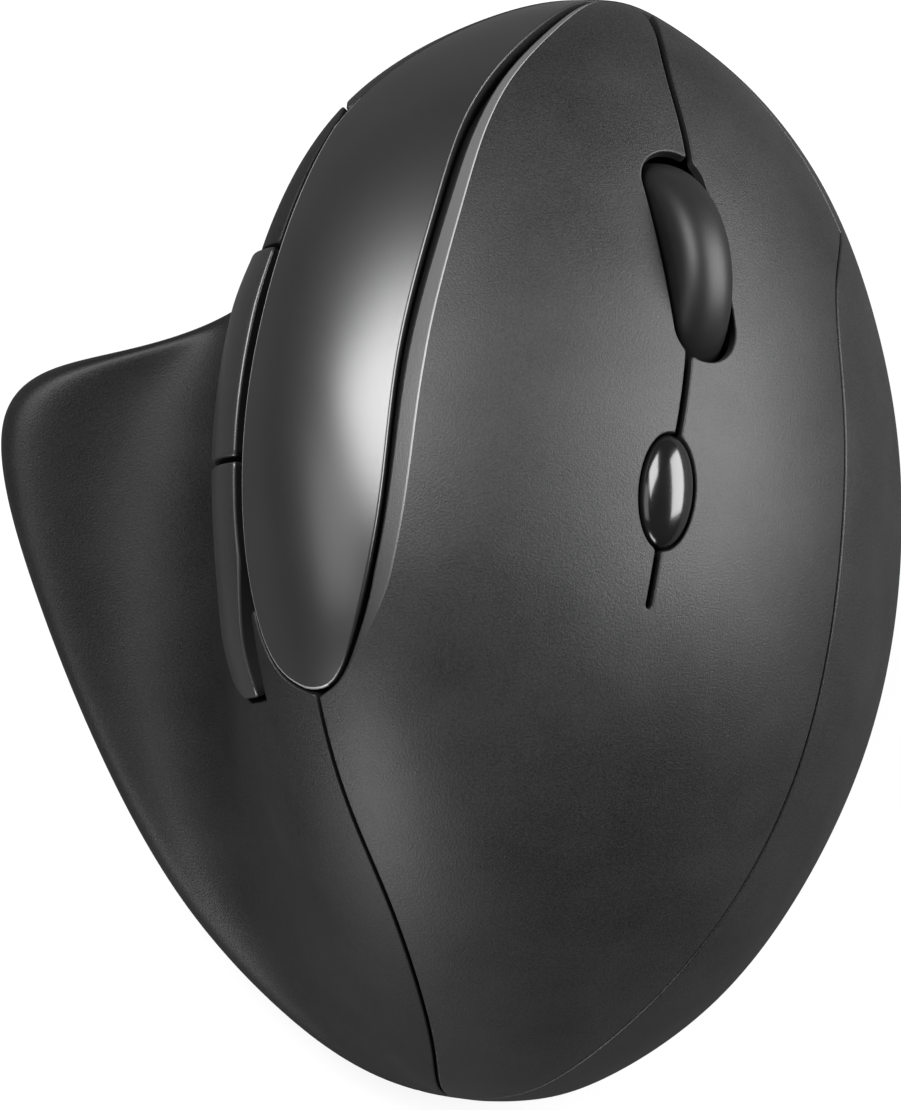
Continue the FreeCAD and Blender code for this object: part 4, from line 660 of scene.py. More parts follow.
def cover(name, sheet, distance, edge, wall=WALL, flush=None, band=None, shining=None):
    """Closed shell cut from a sheet where the distance is positive.
    edge is the radius that rounds it, and wall its thickness, as a number or as a rule of place. flush says
    where the edge stays square, band gives a bevel's width and drop, and shining says where the rounding
    gets a painted highlight, in the same finish as a crease."""
    thick = wall if callable(wall) else lambda q: np.full(len(q), wall)

    def rule(p):
        return distance(p) - edge - (band(p)[0] if band else 0.0)

    f = rule(sheet.points)
    f = np.where(np.abs(f) < 1e-6, 1e-6, f)
    count = (f[sheet.quads] > 0).sum(1)
    mixed = sheet.quads[(count > 0) & (count < 4)]
    pairs = {}
    for quad in mixed:
        for a, b in zip(quad, np.roll(quad, -1)):
            if (f[a] > 0) != (f[b] > 0):
                pairs.setdefault((min(a, b), max(a, b)), len(pairs))
    keys = np.array(list(pairs))
    rim = Rim(sheet, cross_edges(sheet, f, rule, keys[:, 0], keys[:, 1]), rule, flush)
    base = len(sheet.points)
    cut_faces, runs = trimmed(mixed, f, pairs, rim, base)
    faces = [list(q) for q in sheet.quads[count == 4]] + cut_faces

    used = np.unique(np.concatenate([np.asarray(ring) for ring in faces]))
    place = np.full(base + len(rim.p), -1)
    place[used] = np.arange(len(used))
    outer_p = np.concatenate([sheet.points, rim.p])[used]
    outer_n = np.concatenate([sheet.normals, rim.n])[used]
    points, normals, loops = [outer_p], [outer_n], [place[base:]]
    total = len(used)
    bevel = band(rim.p) if band else None
    for p, n in edge_rows(rim, edge, bevel, thick(rim.p)):
        points.append(p)
        normals.append(n)
        loops.append(total + np.arange(len(p)))
        total += len(p)
    points.append(outer_p - outer_n * thick(outer_p)[:, None])
    normals.append(-outer_n)
    loops.append(total + loops[0])

    polygons = [[int(place[i]) for i in ring] for ring in faces]
    polygons += [[int(total + place[i]) for i in reversed(ring)] for ring in faces]
    kinds = [OUTSIDE] * len(polygons)
    shine = shining(rim.p) if shining else np.zeros(len(rim.p), bool)
    bevelled = (bevel[0] > 0.2) & (rim.square < 0.5) if band else np.zeros(len(rim.p), bool)
    for a, b in runs:
        for level, (inner, outer) in enumerate(zip(loops, loops[1:])):
            polygons.append([int(inner[b]), int(inner[a]), int(outer[a]), int(outer[b])])
            kind = BEVEL if bevelled[a] and level < len(BEVEL_ROWS) else OUTSIDE
            # The first rows over a bevelled or shining rim get a painted highlight, and the rows of the
            # wall painted shade.
            if level < CREASE_ROWS and (bevelled[a] or shine[a]):
                kind = CREASE_HIGHLIGHT
            kinds.append(CUT if level >= len(loops) - 1 - WALL_ROWS else kind)
    return shape(name, np.concatenate(points), polygons, np.concatenate(normals), kinds)


# %% From points to a mesh


def added(name, data):
    """A new object in the scene."""
    item = bpy.data.objects.new(name, data)
    bpy.context.collection.objects.link(item)
    return item


def shape(name, points, polygons, normals=None, kinds=None):
    """Mesh object from points in millimetres. Given normals are kept, and kinds say which finish each face
    gets: the outside, the walls of the cut with painted shade, or a bevel with painted light and its crease
    with a painted highlight."""
    mesh = bpy.data.meshes.new(name)
    mesh.from_pydata([tuple(p) for p in np.asarray(points) * MM], [], polygons)
    if kinds is not None:
        mesh.polygons.foreach_set("material_index", kinds)
    mesh.validate()
    mesh.polygons.foreach_set("use_smooth", [True] * len(mesh.polygons))
    mesh.update()
    if normals is not None and len(mesh.vertices) == len(normals):
        mesh.normals_split_custom_set_from_vertices([tuple(n) for n in normals])
    print(name, len(mesh.vertices), "points", len(mesh.polygons), "faces")
    return added(name, mesh)


# %% [markdown]
# ## The top cover and its keys
# On the real mouse palm and keys are one moulding, and each key bends at its root. There is no seam
# across, so the palm and the left key are one mesh here too.
# The right key meets the palm on a line where both have the same points and the same normals, so
# nothing shows.

# %% Palm, keys and their bevelled border
EDGE_ROUND = 0.2
SLIT_HALF = 0.36
NOTCH, NOTCH_FROM, NOTCH_LONG = 0.5, 53.5, 3.0
SHARP = 0.01
BEVEL_WIDE, BEVEL_DEEP = 1.75, 0.62
BEVEL_FROM, BEVEL_GROWS = -13.0, 11.0
BEVEL_SHARE = ([20.0, 40.0, 58.0], [1.0, 0.72, 0.35])
BEVEL_SIDE = 5.0
WHEEL_RELIEF, RELIEF_SIDE = 1.1, 3.0
FADE = 2.0


def slit_gap(p):
    """Outside the slit, which ends round at the keys' roots and opens into a notch at the front."""
    beyond = (slit.flat(p) - slit.a[-1]) @ (slit.step[-1] / slit.long[-1])
    notch = NOTCH * np.clip((p[:, 1] - NOTCH_FROM) / NOTCH_LONG, 0, 1) ** 2
    return np.hypot(slit.left(p), np.maximum(beyond, 0)) - SLIT_HALF - notch


def openings(p):
    """Outside the slit, the wheel's slot and the oval button."""
    return both(both(slit_gap(p), slot(p), 0.3), oval(p), 0.3)


def part_of_top(p, side):
    """What lies on one side of the slit and of the hinge line, with the openings cut out."""
    return both(both(top_cover(p), side, SHARP), openings(p), SHARP)


def palm_and_left(p):
    return part_of_top(p, either(HINGE_Y - p[:, 1] + EDGE_ROUND, -slit.left(p), SHARP))


def right_side(p):
    return part_of_top(p, both(p[:, 1] - HINGE_Y + EDGE_ROUND, slit.left(p), SHARP))


def root_line(p):
    """Where palm and right key meet with square edges."""
    near = np.clip((0.3 - np.abs(p[:, 1] - HINGE_Y)) / 0.2, 0, 1)
    return near * np.clip((slit_gap(p) - EDGE_ROUND - 0.02) / 0.08, 0, 1) * (slit.left(p) > 0)


def ridge_band(p):
    """Width and drop of the bevel along the ridge: narrow in front, and gone at the panel's tip."""
    share = eased((p[:, 1] - BEVEL_FROM) / BEVEL_GROWS) * np.interp(p[:, 1], *BEVEL_SHARE)
    near = np.clip((BEVEL_SIDE - ridge.left(p)) / FADE, 0, 1)
    return BEVEL_WIDE * share * near, BEVEL_DEEP * share * near


def key_wall(p):
    """Wall of the keys, thinner round the wheel, so that a pressed key stays clear of the tyre."""
    return WALL - WHEEL_RELIEF * np.clip((RELIEF_SIDE - slot(p)) / FADE, 0, 1)


palm = cover("palm_and_left_key", skin, palm_and_left, EDGE_ROUND, key_wall, root_line, ridge_band)
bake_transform(palm)
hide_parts("palm_cover", "left_key")
right_key = cover("right_key_skin", skin, right_side, EDGE_ROUND, key_wall, root_line)
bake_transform(right_key)
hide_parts("right_key")

# %% [markdown]
# ## The accent panel and the thumb shell
# The glossy panel lies in its own recess, a little deeper than its edge is round. A seat moulded in the
# thumb shell carries it, and shows as the floor of the groove along the ridge, painted near-black as shade.

# %% Panel, seat and thumb shell
TIP_ROUND = 1.6
BUTTON_GAP = 0.35
SEAT_IN, SEAT_OUT = 0.35, 2.5
RIM_ZONE = 1.2


def panel_field(p):
    """Inside the panel's outline, with its lower tip rounded."""
    return both(-ridge.left(p), -panel_edge.left(p), TIP_ROUND)


def panel_cut(p):
    gap = np.where(-ridge.left(p) < -panel_edge.left(p), groove(p), SEAM / 2)
    return both(panel_field(p) - gap, -nose(p) - SEAM)


def shell_cut(p):
    f = both(-ridge.left(p) - SEAM / 2, -panel_field(p) - SEAM / 2, 0.4)
    f = both(both(f, -nose(p) - SEAM), -fingers(p) - SEAM)
    f = both(f, p[:, 2] - FLOOR - SEAM)
    return both(both(f, -forward_outline(p) - BUTTON_GAP), -back_outline(p) - BUTTON_GAP)


def seat_cut(p):
    return both(-ridge.left(p) + groove(p) - SEAT_IN, both(panel_field(p) + SEAT_OUT, -nose(p) - SEAM))


def thumb_edge(p):
    """Along the panel's edge on the thumb side, where its rounding gets a painted highlight."""
    return panel_edge.left(p) > -RIM_ZONE


panel = cover("accent_panel_skin", skin, panel_cut, 0.3, shining=thumb_edge)
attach(panel, "housing")
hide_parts("accent_panel")


def sunk_skin(u, v):
    """The form under the panel, where its seat lies."""
    p, n, du, dv = outward_skin(u, v)
    return p - n * (WALL + 0.1), n, du, dv


sunk = Sheet(sunk_skin, skin.u, skin.v, True)
seat = cover("panel_seat", sunk, seat_cut, 0.2, wall=1.5)
thumb = cover("thumb_shell_skin", skin, shell_cut, EDGE_ROUND)
for piece in (seat, thumb):
    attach(piece, "housing")
    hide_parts("thumb_shell")

# %% [markdown]
# ## The thumb buttons
# Two caps stand out of the thumb wall, one behind the other. They are cut from a skin a little further
# out, so they follow the wall, and their edges are rounder than those of the covers, because a thumb
# runs over them.

# %% Thumb buttons
BUTTON_PROUD = 1.3
BUTTON_FLUSH = 0.1
RISE_WIDTH = 1.6
BUTTON_ENDS, END_FADE, END_SHARE = (-17.0, 34.0), 10.0, 0.35


def proud_at(u, v):
    """The caps' outer face: flush with the wall beside the panel, proud further down."""
    p, n, _, _ = outward_skin(u, v)
    away = 1 - np.exp(-np.maximum(panel_edge.left(p), 0) / RISE_WIDTH)
    rise = BUTTON_FLUSH + (BUTTON_PROUD - BUTTON_FLUSH) * away
    ends = eased(np.stack([p[:, 1] - BUTTON_ENDS[0], BUTTON_ENDS[1] - p[:, 1]]) / END_FADE)
    return p + n * (rise * (END_SHARE + (1 - END_SHARE) * ends[0] * ends[1]))[:, None]


def proud_skin(u, v):
    """The same face with its normals, from small steps to each side."""
    h = 0.01
    p = proud_at(u, v)
    du = (proud_at(u + h, v) - proud_at(u - h, v)) / (2 * h)
    dv = (proud_at(u, v + h) - proud_at(u, v - h)) / (2 * h)
    return p, unit(np.cross(dv, du) * FACING), du, dv


step = 0.6 / FINE
proud = Sheet(proud_skin, np.arange(0.3, 3.6, step), np.arange(3.4, 9.0, step), False)
caps = []
for name, inside in (("forward_button", forward_outline), ("back_button", back_outline)):
    cap = cover(name + "_cap", proud, inside, 0.3, wall=WALL + BUTTON_PROUD)
    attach(cap, name)
    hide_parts(name)
    caps.append(cap)

# %% [markdown]
# ## The base
# The base is one moulding: a low band all round, the wall on the little-finger side, the nose under the
# keys and the floor. Its walls come from the skin, and its floor from a flat sheet cut in the same way.

# %% Walls and floor


def base_cut(p):
    walls = either(either(FLOOR - p[:, 2], nose(p), 0.3), fingers(p), 0.3)
    return both(walls, p[:, 2] - FOOT, 0.2)


base = cover("base_walls", skin, base_cut, 0.25)


def flat_at(z):
    def at(u, v):
        zero = 0 * u
        return (np.stack([u, v, zero + z], -1), np.stack([zero, zero, zero - 1], -1),
                np.stack([zero + 1, zero, zero], -1), np.stack([zero, zero + 1, zero], -1))
    return at


def outline_at(z):
    """Outline of the form at a height, as a ring of plan points."""
    points = []
    quads = skin.points.reshape(len(skin.u), len(skin.v), 3)
    for j in range(4, len(skin.v) - 4):
        column = quads[:, j]
        low = np.where((column[:, 2] < z) != (np.roll(column[:, 2], -1) < z))[0]
        for i in low:
            a, b = column[i], column[(i + 1) % len(column)]
            points.append(a + (b - a) * (z - a[2]) / (b[2] - a[2]))
    points = np.array(points)[:, :2]
    middle = points.mean(0)
    return points[np.argsort(np.arctan2(*(points - middle).T))]


foot_ring = outline_at(FOOT + 0.25)
print("foot outline", len(foot_ring), foot_ring.min(0).round(1), foot_ring.max(0).round(1))


def ring_inside(ring):
    """Signed distance inside a ring of plan points."""
    a, step = ring, np.roll(ring, -1, axis=0) - ring
    long = np.maximum((step ** 2).sum(1), 1e-9)

    def inside(p):
        q = p[:, :2]
        out = np.empty(len(q))
        for lo in range(0, len(q), BATCH):
            d = q[lo:lo + BATCH, None, :] - a[None]
            t = np.clip((d * step).sum(2) / long, 0, 1)
            away = np.sqrt((((d - t[:, :, None] * step) ** 2).sum(2)).min(1))
            y0, y1 = d[:, :, 1], d[:, :, 1] - step[:, 1]
            rise = np.where(step[:, 1] == 0, 1e-9, step[:, 1])
            hits = ((y0 >= 0) != (y1 >= 0)) & (d[:, :, 0] - step[:, 0] * y0 / rise < 0)
            out[lo:lo + BATCH] = away * np.where(hits.sum(1) % 2 == 1, 1, -1)
        return out
    return inside


in_foot = ring_inside(foot_ring)

# %% Openings of the floor
CELL, SENSOR, KNOB = drawn(20.0, -13.0), drawn(-8.0, 8.0), drawn(-12.0, -18.0)
CELL_HALF, CELL_ROOM, DOOR_LAP = (7.25, 25.0), (0.35, 3.0), 1.4
DOOR_HALF = [half + room + DOOR_LAP + SEAM for half, room in zip(CELL_HALF, CELL_ROOM)]
WINDOW_HALF, KNOB_HALF = (4.0, 3.0), (2.75, 1.55)
KNOB_MIDDLE = KNOB + np.array([1.2, 0, 0])
SCREW_WELL = 2.4


def rounded_box(p, centre, half, radius):
    """Signed distance outside a box with rounded corners, in plan."""
    d = np.abs(p[:, :2] - centre[:2]) - (np.array(half) - radius)
    return np.hypot(*np.maximum(d, 0).T) + np.minimum(d.max(1), 0) - radius


def screw_centres():
    """Centres of the case screws, found in the frame's own node."""
    mesh = frame["nodes"]["case_screws"].data
    low = np.array([v.co for v in mesh.vertices]) / MM
    low = low[low[:, 2] < low[:, 2].min() + 0.2]
    heads = []
    for p in low:
        near = [head for head in heads if np.hypot(*(p[:2] - head[0][:2])) < 5]
        if near:
            near[0].append(p)
        else:
            heads.append([p])
    return [(np.min(head, axis=0) + np.max(head, axis=0)) / 2 for head in heads]


screws = screw_centres()
print("screws", len(screws))


def floor_cut(p):
    f = in_foot(p) - 0.25
    f = both(f, rounded_box(p, CELL, DOOR_HALF, 0.5), 0.3)
    f = both(f, rounded_box(p, SENSOR, WINDOW_HALF, 0.6), 0.3)
    f = both(f, rounded_box(p, KNOB_MIDDLE, KNOB_HALF, 0.4), 0.3)
    for c in screws:
        f = both(f, np.hypot(p[:, 0] - c[0], p[:, 1] - c[1]) - SCREW_WELL, 0.3)
    return f


step = 0.8
plate = Sheet(flat_at(FOOT), np.arange(-50, 50, step), np.arange(-60, 60, step), False)
floor = cover("base_floor", plate, floor_cut, 0.2, wall=2.0)
for piece in (base, floor):
    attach(piece, "housing")
    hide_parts("bottom_case")

# %% [markdown]
# ## The wheel and the oval button
# Both are moulded and turned forms, so both are made from a profile. The tyre is smooth rubber with
# rounded shoulders. The oval button is a glossy dome, higher than it looks from above.

# %% Tyre


def lathe(name, profile, stand, centre, steps=128):
    """Turns a closed profile of radius and place along the axle about that axle."""
    profile = np.asarray(profile, float)
    a = np.linspace(0, 2 * math.pi, steps, endpoint=False)
    n = len(profile)
    points = np.stack([np.broadcast_to(profile[:, 1], (steps, n)), profile[:, 0] * np.cos(a)[:, None],
                       profile[:, 0] * np.sin(a)[:, None]], -1).reshape(-1, 3) + np.array(centre)
    polygons = []
    for i in range(steps):
        for j in range(n):
            k, m = (i + 1) % steps, (j + 1) % n
            polygons.append([i * n + j, i * n + m, k * n + m, k * n + j])
    return shape(name, stand.world(points), polygons)


TYRE = 2.4
SHOULDER = 2.4
LIP_REACH, LIP_INSIDE = 4.0, 2.74
half = WHEEL_WIDTH / 2
outside = []
for x in np.sin(np.linspace(-math.pi / 2, math.pi / 2, 31)):
    crown = TYRE * (1 - max(1 - abs(x) ** SHOULDER, 0.0) ** 0.5)
    outside.append((WHEEL_RADIUS - crown, half * x))
profile = outside + [(LIP_REACH, half), (LIP_REACH, LIP_INSIDE), (WHEEL_RADIUS - TYRE, LIP_INSIDE),
                     (WHEEL_RADIUS - TYRE, -LIP_INSIDE), (LIP_REACH, -LIP_INSIDE), (LIP_REACH, -half)]
tyre = lathe("scroll_tyre", profile, wheel_stand, (0, 0, -(WHEEL_RADIUS - WHEEL_PROUD)))
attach(tyre, "wheel")
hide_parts("wheel_tyre")

# %% Oval button
DOME, RIM_BELOW, ROOT = 1.45, 0.9, -3.0
OVAL_MORE = 0.1
STEPS = 96
angles = np.linspace(0, 2 * math.pi, STEPS, endpoint=False)
rings = [(math.sin(t), (DOME + RIM_BELOW) * max(math.cos(t), 0.0) ** 0.85 - RIM_BELOW)
         for t in np.linspace(0.06, math.pi / 2, 20)] + [(1.0, ROOT)]


def on_oval(a, out, z):
    """Place on the leaning oval: at an angle, a share of the way out, and a height."""
    x, y = (OVAL_HALF + OVAL_MORE) * out * (math.cos(a), math.sin(a))
    return (x * math.cos(OVAL_LEAN) + y * math.sin(OVAL_LEAN),
            y * math.cos(OVAL_LEAN) - x * math.sin(OVAL_LEAN), z)


points = [(0, 0, DOME)] + [on_oval(a, *ring) for ring in rings for a in angles] + [(0, 0, ROOT)]
polygons = [[0, 1 + i, 1 + (i + 1) % STEPS] for i in range(STEPS)]
for inner in range(1, 1 + (len(rings) - 1) * STEPS, STEPS):
    outer = inner + STEPS
    for i in range(STEPS):
        k = (i + 1) % STEPS
        polygons.append([inner + i, outer + i, outer + k, inner + k])
polygons += [[outer + (i + 1) % STEPS, outer + i, len(points) - 1] for i in range(STEPS)]
oval_cap = shape("oval_cap", oval_stand.world(np.array(points)), polygons)
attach(oval_cap, "oval_button")
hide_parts("oval_button")

# %% [markdown]
# ## Finishes
# All of it is black plastic, and still no two parts look alike, because the eye reads the grain and the
# gloss. The covers have a fine spark-eroded grain, the panel a satin lacquer, the oval button a hard
# polish, the wheel rubber. The grain is made from noise: fine for the bump and the gloss, and coarse for
# slight changes of colour. Some light and shade is painted into colours too. The ridge's bevel gets painted
# light. Its crease and the panel's thumb-side edge get a painted highlight. The walls of the seams and the
# panel's seat get painted shade, and so does the thumb shell, as a darker copy of the grain.

# %% A small kit for shader sums


def operator(kind, turned=False):
    """The method of one operator, or its turned form, for a number in front of the socket."""
    def method(self, other):
        first, second = (other, self) if turned else (self, other)
        return self.finish.node("ShaderNodeMath", {"operation": kind}, {0: first, 1: second})
    return method


class Sum:
    """A socket that can be used in sums like a number."""

    def __init__(self, finish, socket):
        self.finish, self.socket = finish, socket

    __add__, __radd__ = operator("ADD"), operator("ADD", True)
    __sub__, __rsub__ = operator("SUBTRACT"), operator("SUBTRACT", True)
    __mul__, __rmul__ = operator("MULTIPLY"), operator("MULTIPLY", True)
    __truediv__, __rtruediv__ = operator("DIVIDE"), operator("DIVIDE", True)


class Finish:
    """A material that is built from nodes."""

    def __init__(self, name):
        self.material = bpy.data.materials.new(name)
        self.material.use_nodes = True
        self.tree = self.material.node_tree
        self.shader = self.tree.nodes["Principled BSDF"]
        self.place = self.node("ShaderNodeTexCoord", {}, {}, "Object")

    def feed(self, socket, value):
        """Links a socket to a sum, or sets it to a plain value."""
        if isinstance(value, Sum):
            self.tree.links.new(value.socket, socket)
        else:
            socket.default_value = value

    def node(self, kind, settings, inputs, output=0):
        """Adds a node, with its settings first and then its values and links. Gives one output."""
        node = self.tree.nodes.new(kind)
        for key, value in settings.items():
            setattr(node, key, value)
        for key, value in inputs.items():
            self.feed(node.inputs[key], value)
        return Sum(self, node.outputs[output])

    def noise(self, size, detail=2.0, rough=0.5):
        """Noise with features of a size in millimetres, about 0.5."""
        inputs = {"Vector": self.place, "Scale": 1 / (size * MM), "Detail": detail, "Roughness": rough}
        return self.node("ShaderNodeTexNoise", {"noise_dimensions": "3D"}, inputs, "Fac")

    def set(self, **values):
        """Sets or links the shader's sockets."""
        for key, value in values.items():
            self.feed(self.shader.inputs[key.replace("_", " ")], value)

    def bump(self, height, depth):
        """Bump from a height, with its depth in millimetres."""
        inputs = {"Height": height, "Distance": depth * MM, "Strength": 1.0}
        self.set(Normal=self.node("ShaderNodeBump", {}, inputs))

    def mix(self, share, dark, light):
        """Colour between two, by a share. The Mix node has its colours at inputs 6 and 7 and output 2."""
        inputs = {0: share, 6: (*dark, 1), 7: (*light, 1)}
        return self.node("ShaderNodeMix", {"data_type": "RGBA"}, inputs, 2)


# %% The finishes


def eroded(name, rough, grain, depth, spread=0.06, gloss=0.35):
    """A finish with a spark-eroded grain, and the noise of that grain. Sizes are in millimetres."""
    finish = Finish(name)
    fine = finish.noise(grain, 3.0, 0.6)
    finish.set(Roughness=rough - spread / 2 + fine * spread, Specular_IOR_Level=gloss)
    finish.bump(fine, depth)
    return finish, fine


def grained(name, dark, light, *texture, **more):
    """Moulded plastic, grained and a little cloudy."""
    finish, fine = eroded(name, *texture, **more)
    finish.set(Base_Color=finish.mix((fine - 0.5) * 2.4 + finish.noise(9.0), dark, light))
    return finish


soft = grained("soft_shell_grain", (0.002, 0.002, 0.0021), (0.015, 0.015, 0.0156), 0.47, 0.2, 0.05)
# The thumb shell wears the covers' grain in a darker copy, as painted shade for the shade on the wing.
thumb_grain_painted_shade = grained("thumb_shell_grain_painted_shade", (0.001, 0.001, 0.0011), (0.010, 0.010, 0.0104),
                     0.5, 0.2, 0.05, gloss=0.28)


def painted_light_ramp(name, bright, rough):
    """A finish with painted light: its colour ramps lighter towards the front, for the bevel along the
    ridge and its crease.
    """
    finish, _ = eroded(name, rough, 0.2, 0.03, 0.05, 0.6)
    place = finish.node("ShaderNodeSeparateXYZ", {}, {0: finish.place}, "Y")
    share = (place / MM + 6.0) / 46.0
    finish.set(Base_Color=finish.mix(share, (0.006, 0.006, 0.006), (bright, bright, bright * 1.02)))
    return finish


# The crease along the ridge gets a painted highlight: a light grey colour on the first rows of its
# rounding.
crease_highlight = painted_light_ramp("crease_painted_highlight", 0.24, 0.36)
# The panel's rim gets a painted highlight: a light grey colour on the rounding of its thumb-side edge.
rim = grained("panel_rim_painted_highlight", (0.16, 0.16, 0.163), (0.24, 0.24, 0.245), 0.3, 0.3, 0.004, 0.04, 0.8)
# The bevel's colour is painted light: dark at the back and lighter towards the front.
bevel = painted_light_ramp("bevel_painted_light", 0.075, 0.42)
case = grained("case_grain", (0.005, 0.005, 0.0053), (0.011, 0.011, 0.0115), 0.45, 0.3, 0.03)
button = grained("button_satin", (0.006, 0.006, 0.0063), (0.012, 0.012, 0.0125),
                 0.36, 0.25, 0.006, 0.04, 0.7)
# Painted shade: a near-black grain for the walls of the seams, the covers' undersides and the panel's seat,
# in place of the shade in the gaps and the groove.
painted_shade = grained("seam_and_seat_painted_shade", (0.0015, 0.0015, 0.0015), (0.003, 0.003, 0.003), 0.7, 0.3, 0.02)
print("nodes of the grain", len(soft.tree.nodes), "and of the bevel", len(bevel.tree.nodes))

# %% Lacquer, polish and rubber
lacquer = Finish("panel_lacquer")
wave = lacquer.noise(0.5, 2.0)
lacquer.set(Base_Color=lacquer.mix(lacquer.noise(12.0), (0.006, 0.006, 0.0063), (0.010, 0.010, 0.0104)),
            Roughness=0.31 + wave * 0.04, Specular_IOR_Level=0.8)
lacquer.bump(wave, 0.0015)

polish = Finish("oval_polish")
polish.set(Base_Color=polish.mix(polish.noise(4.0), (0.003, 0.003, 0.003), (0.006, 0.006, 0.006)),
           Roughness=0.17 + polish.noise(1.0) * 0.04, Specular_IOR_Level=0.4,
           Coat_Weight=0.2, Coat_Roughness=0.05)
polish.bump(polish.noise(3.0), 0.002)

tread = Finish("wheel_rubber")
skin_noise = tread.noise(0.18, 2.0)
tread.set(Base_Color=tread.mix(tread.noise(2.5), (0.004, 0.004, 0.004), (0.008, 0.008, 0.008)),
          Roughness=0.42 + skin_noise * 0.08, Specular_IOR_Level=0.3)
tread.bump(skin_noise, 0.008)
print("lacquer nodes", len(lacquer.tree.nodes))

# %% Inner pieces, and who wears what


def plain(name, dark, light, rough, metal=0.0, grain=0.4, depth=0.004):
    """Inner pieces: moulded, plated or lacquered, with a faint unevenness."""
    finish = Finish(name)
    cloud = finish.noise(grain, 3.0)
    finish.set(Base_Color=finish.mix(cloud, dark, light), Metallic=metal,
               Roughness=rough - 0.04 + cloud * 0.08)
    finish.bump(cloud, depth)
    return finish


inner = {
    "hub_plastic": plain("hub_plastic_grain", (0.02, 0.02, 0.021), (0.03, 0.03, 0.031), 0.5),
    "white_plastic": plain("white_plastic_grain", (0.62, 0.61, 0.58), (0.7, 0.69, 0.66), 0.4),
    "switch_plastic": plain("switch_plastic_grain", (0.02, 0.02, 0.022), (0.035, 0.035, 0.037), 0.45),
    "circuit_board": plain("board_lacquer", (0.008, 0.03, 0.016), (0.012, 0.04, 0.022), 0.3),
    "contact_metal": plain("plated_steel", (0.5, 0.5, 0.51), (0.62, 0.62, 0.62), 0.3, 1.0, 0.25),
    "cell_sleeve": plain("cell_sleeve_metal", (0.28, 0.28, 0.29), (0.36, 0.36, 0.37), 0.32, 1.0),
    "glide_film": plain("glide_film_smooth", (0.20, 0.20, 0.205), (0.25, 0.25, 0.255), 0.35),
    "case_plastic": case,
    "clear_lens": plain("lens_clear", (0.8, 0.8, 0.82), (0.88, 0.88, 0.9), 0.08),
}
inner["clear_lens"].set(Transmission_Weight=0.9, IOR=1.49)

# Slot 1 of a cover is painted shade for the walls of its seams. Slot 2 is a painted highlight for a crease
# or the panel's rim, and slot 3 the bevel's painted light. The seat wears painted shade all over.
worn = [(palm, soft, painted_shade, crease_highlight, bevel), (right_key, soft, painted_shade), (panel, lacquer, painted_shade, rim),
        (thumb, thumb_grain_painted_shade, painted_shade), (seat, painted_shade, painted_shade), (base, soft, painted_shade), (floor, case, painted_shade),
        (tyre, tread), (oval_cap, polish)]
for piece, *finishes in worn + [(cap, button, painted_shade) for cap in caps]:
    for finish in finishes:
        piece.data.materials.append(finish.material)
slots = {row["node"]: row["material_slot"] for row in frame["record"]["subparts"]}
for name, node in frame["nodes"].items():
    for place in node.material_slots:
        place.material = inner.get(slots[name], soft).material
print("finishes", len(bpy.data.materials), "nodes dressed", len(frame["nodes"]))

# %% [markdown]
# ## Studio
# The photograph looks straight down. Black plastic shows little but its reflections, so each light is
# placed for the one it gives: a soft box ahead for the streak on the panel, a weak one at the left for
# the wing, a wide one low at the right for the palm's flank, and one low behind for the back edge. The
# floor is pale, and white to the camera, so that the outline stays crisp.

# %% Camera
PHOTO_WIDTH = 901
PIXELS_PER_MM = 9.3
DISTANCE = 0.9
SENSOR_WIDTH = 36.0
eye = bpy.data.cameras.new("eye")
camera = added("eye", eye)
camera.location = (0, 0, DISTANCE)
eye.sensor_fit = "HORIZONTAL"
eye.sensor_width = SENSOR_WIDTH
eye.lens = SENSOR_WIDTH * DISTANCE / (PHOTO_WIDTH / PIXELS_PER_MM * MM)
eye.clip_start, eye.clip_end = 0.01, 20
bpy.context.scene.camera = camera
print("lens", round(eye.lens, 1))

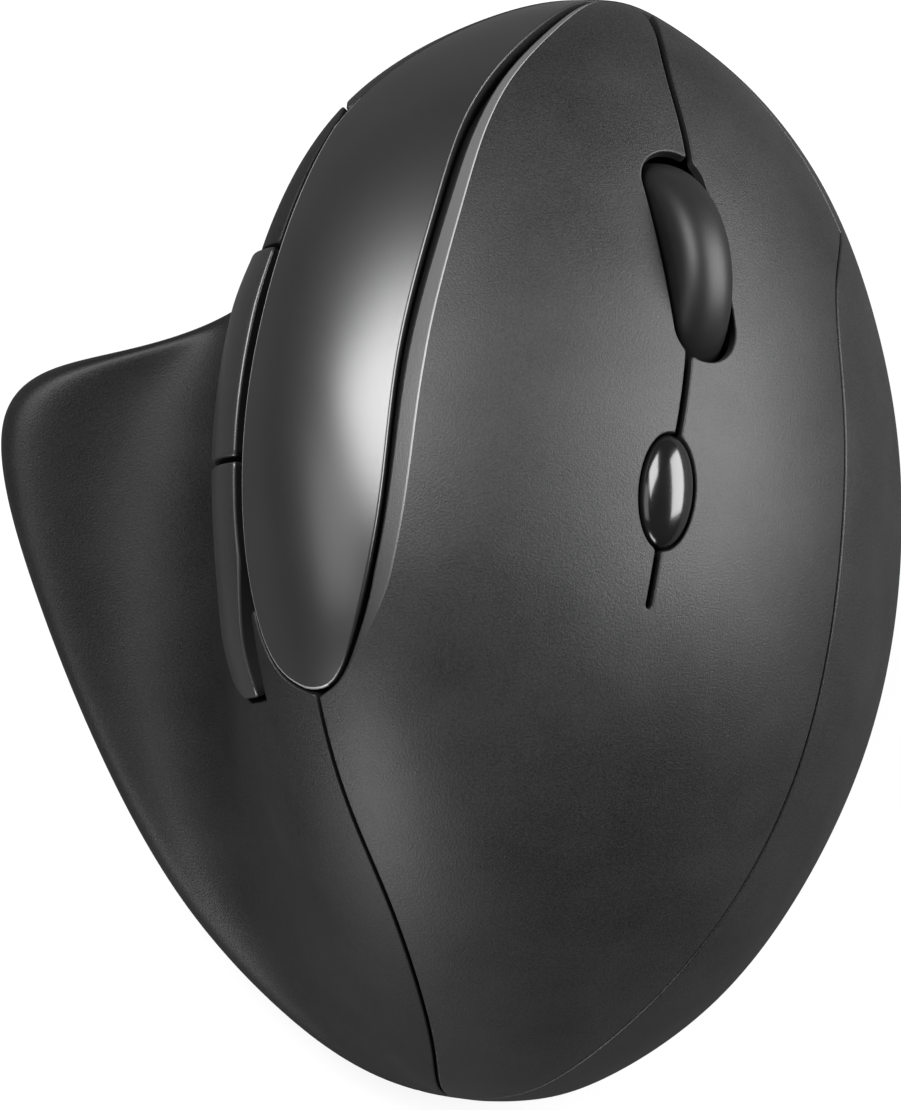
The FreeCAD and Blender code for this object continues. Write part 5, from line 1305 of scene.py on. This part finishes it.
# %% Floor
FLOOR_GREY, FLOOR_WHITE, GLOW_SHARE = (0.09,) * 3, (0.82,) * 3, 0.86
ground = bpy.data.meshes.new("studio_floor")
ground.from_pydata([(-3, -3, 0), (3, -3, 0), (3, 3, 0), (-3, 3, 0)], [], [(0, 1, 2, 3)])
studio_floor = added("studio_floor", ground)
pale = Finish("pale_floor")
seen = pale.node("ShaderNodeLightPath", {}, {}, "Is Camera Ray")
glow = pale.node("ShaderNodeEmission", {}, {"Color": (1, 1, 1, 1), "Strength": 1.0}, "Emission")
pale.set(Base_Color=pale.mix(seen, FLOOR_GREY, FLOOR_WHITE), Roughness=0.9)
matt = Sum(pale, pale.shader.outputs["BSDF"])
both_looks = pale.node("ShaderNodeMixShader", {}, {0: seen * GLOW_SHARE, 1: matt, 2: glow})
pale.tree.links.new(both_looks.socket, pale.tree.nodes["Material Output"].inputs["Surface"])
ground.materials.append(pale.material)
print("floor nodes", len(pale.tree.nodes))

# %% Lights
LIGHT_DISTANCE = 0.8


def soft_light(name, towards, width, height, radiance):
    """Soft box in a direction from the mouse, turned to it. Its radiance is what a mirror would show."""
    lamp = bpy.data.lights.new(name, "AREA")
    lamp.shape = "RECTANGLE"
    lamp.size, lamp.size_y = width, height
    lamp.energy = radiance * math.pi * width * height
    item = added(name, lamp)
    item.location = Vector(towards).normalized() * LIGHT_DISTANCE + Vector((0, 0, 0.03))
    item.rotation_euler = Vector(towards).to_track_quat("Z", "Y").to_euler()


soft_light("panel_light", (-0.35, 0.52, 0.77), 0.46, 0.50, 16.0)
soft_light("left_light", (-0.76, 0.04, 0.62), 0.50, 0.40, 2.5)
soft_light("right_light", (0.87, 0.24, 0.40), 0.70, 0.50, 15.0)
soft_light("back_left_light", (-0.50, -0.80, 0.25), 0.40, 0.36, 12.0)
world = bpy.data.worlds.new("studio")
bpy.context.scene.world = world
world.use_nodes = True
sky = world.node_tree.nodes["Background"].inputs
sky["Color"].default_value, sky["Strength"].default_value = (1, 1, 1, 1), 0.08
bpy.context.scene.view_settings.view_transform = "Standard"
print("lights", len(bpy.data.lights))
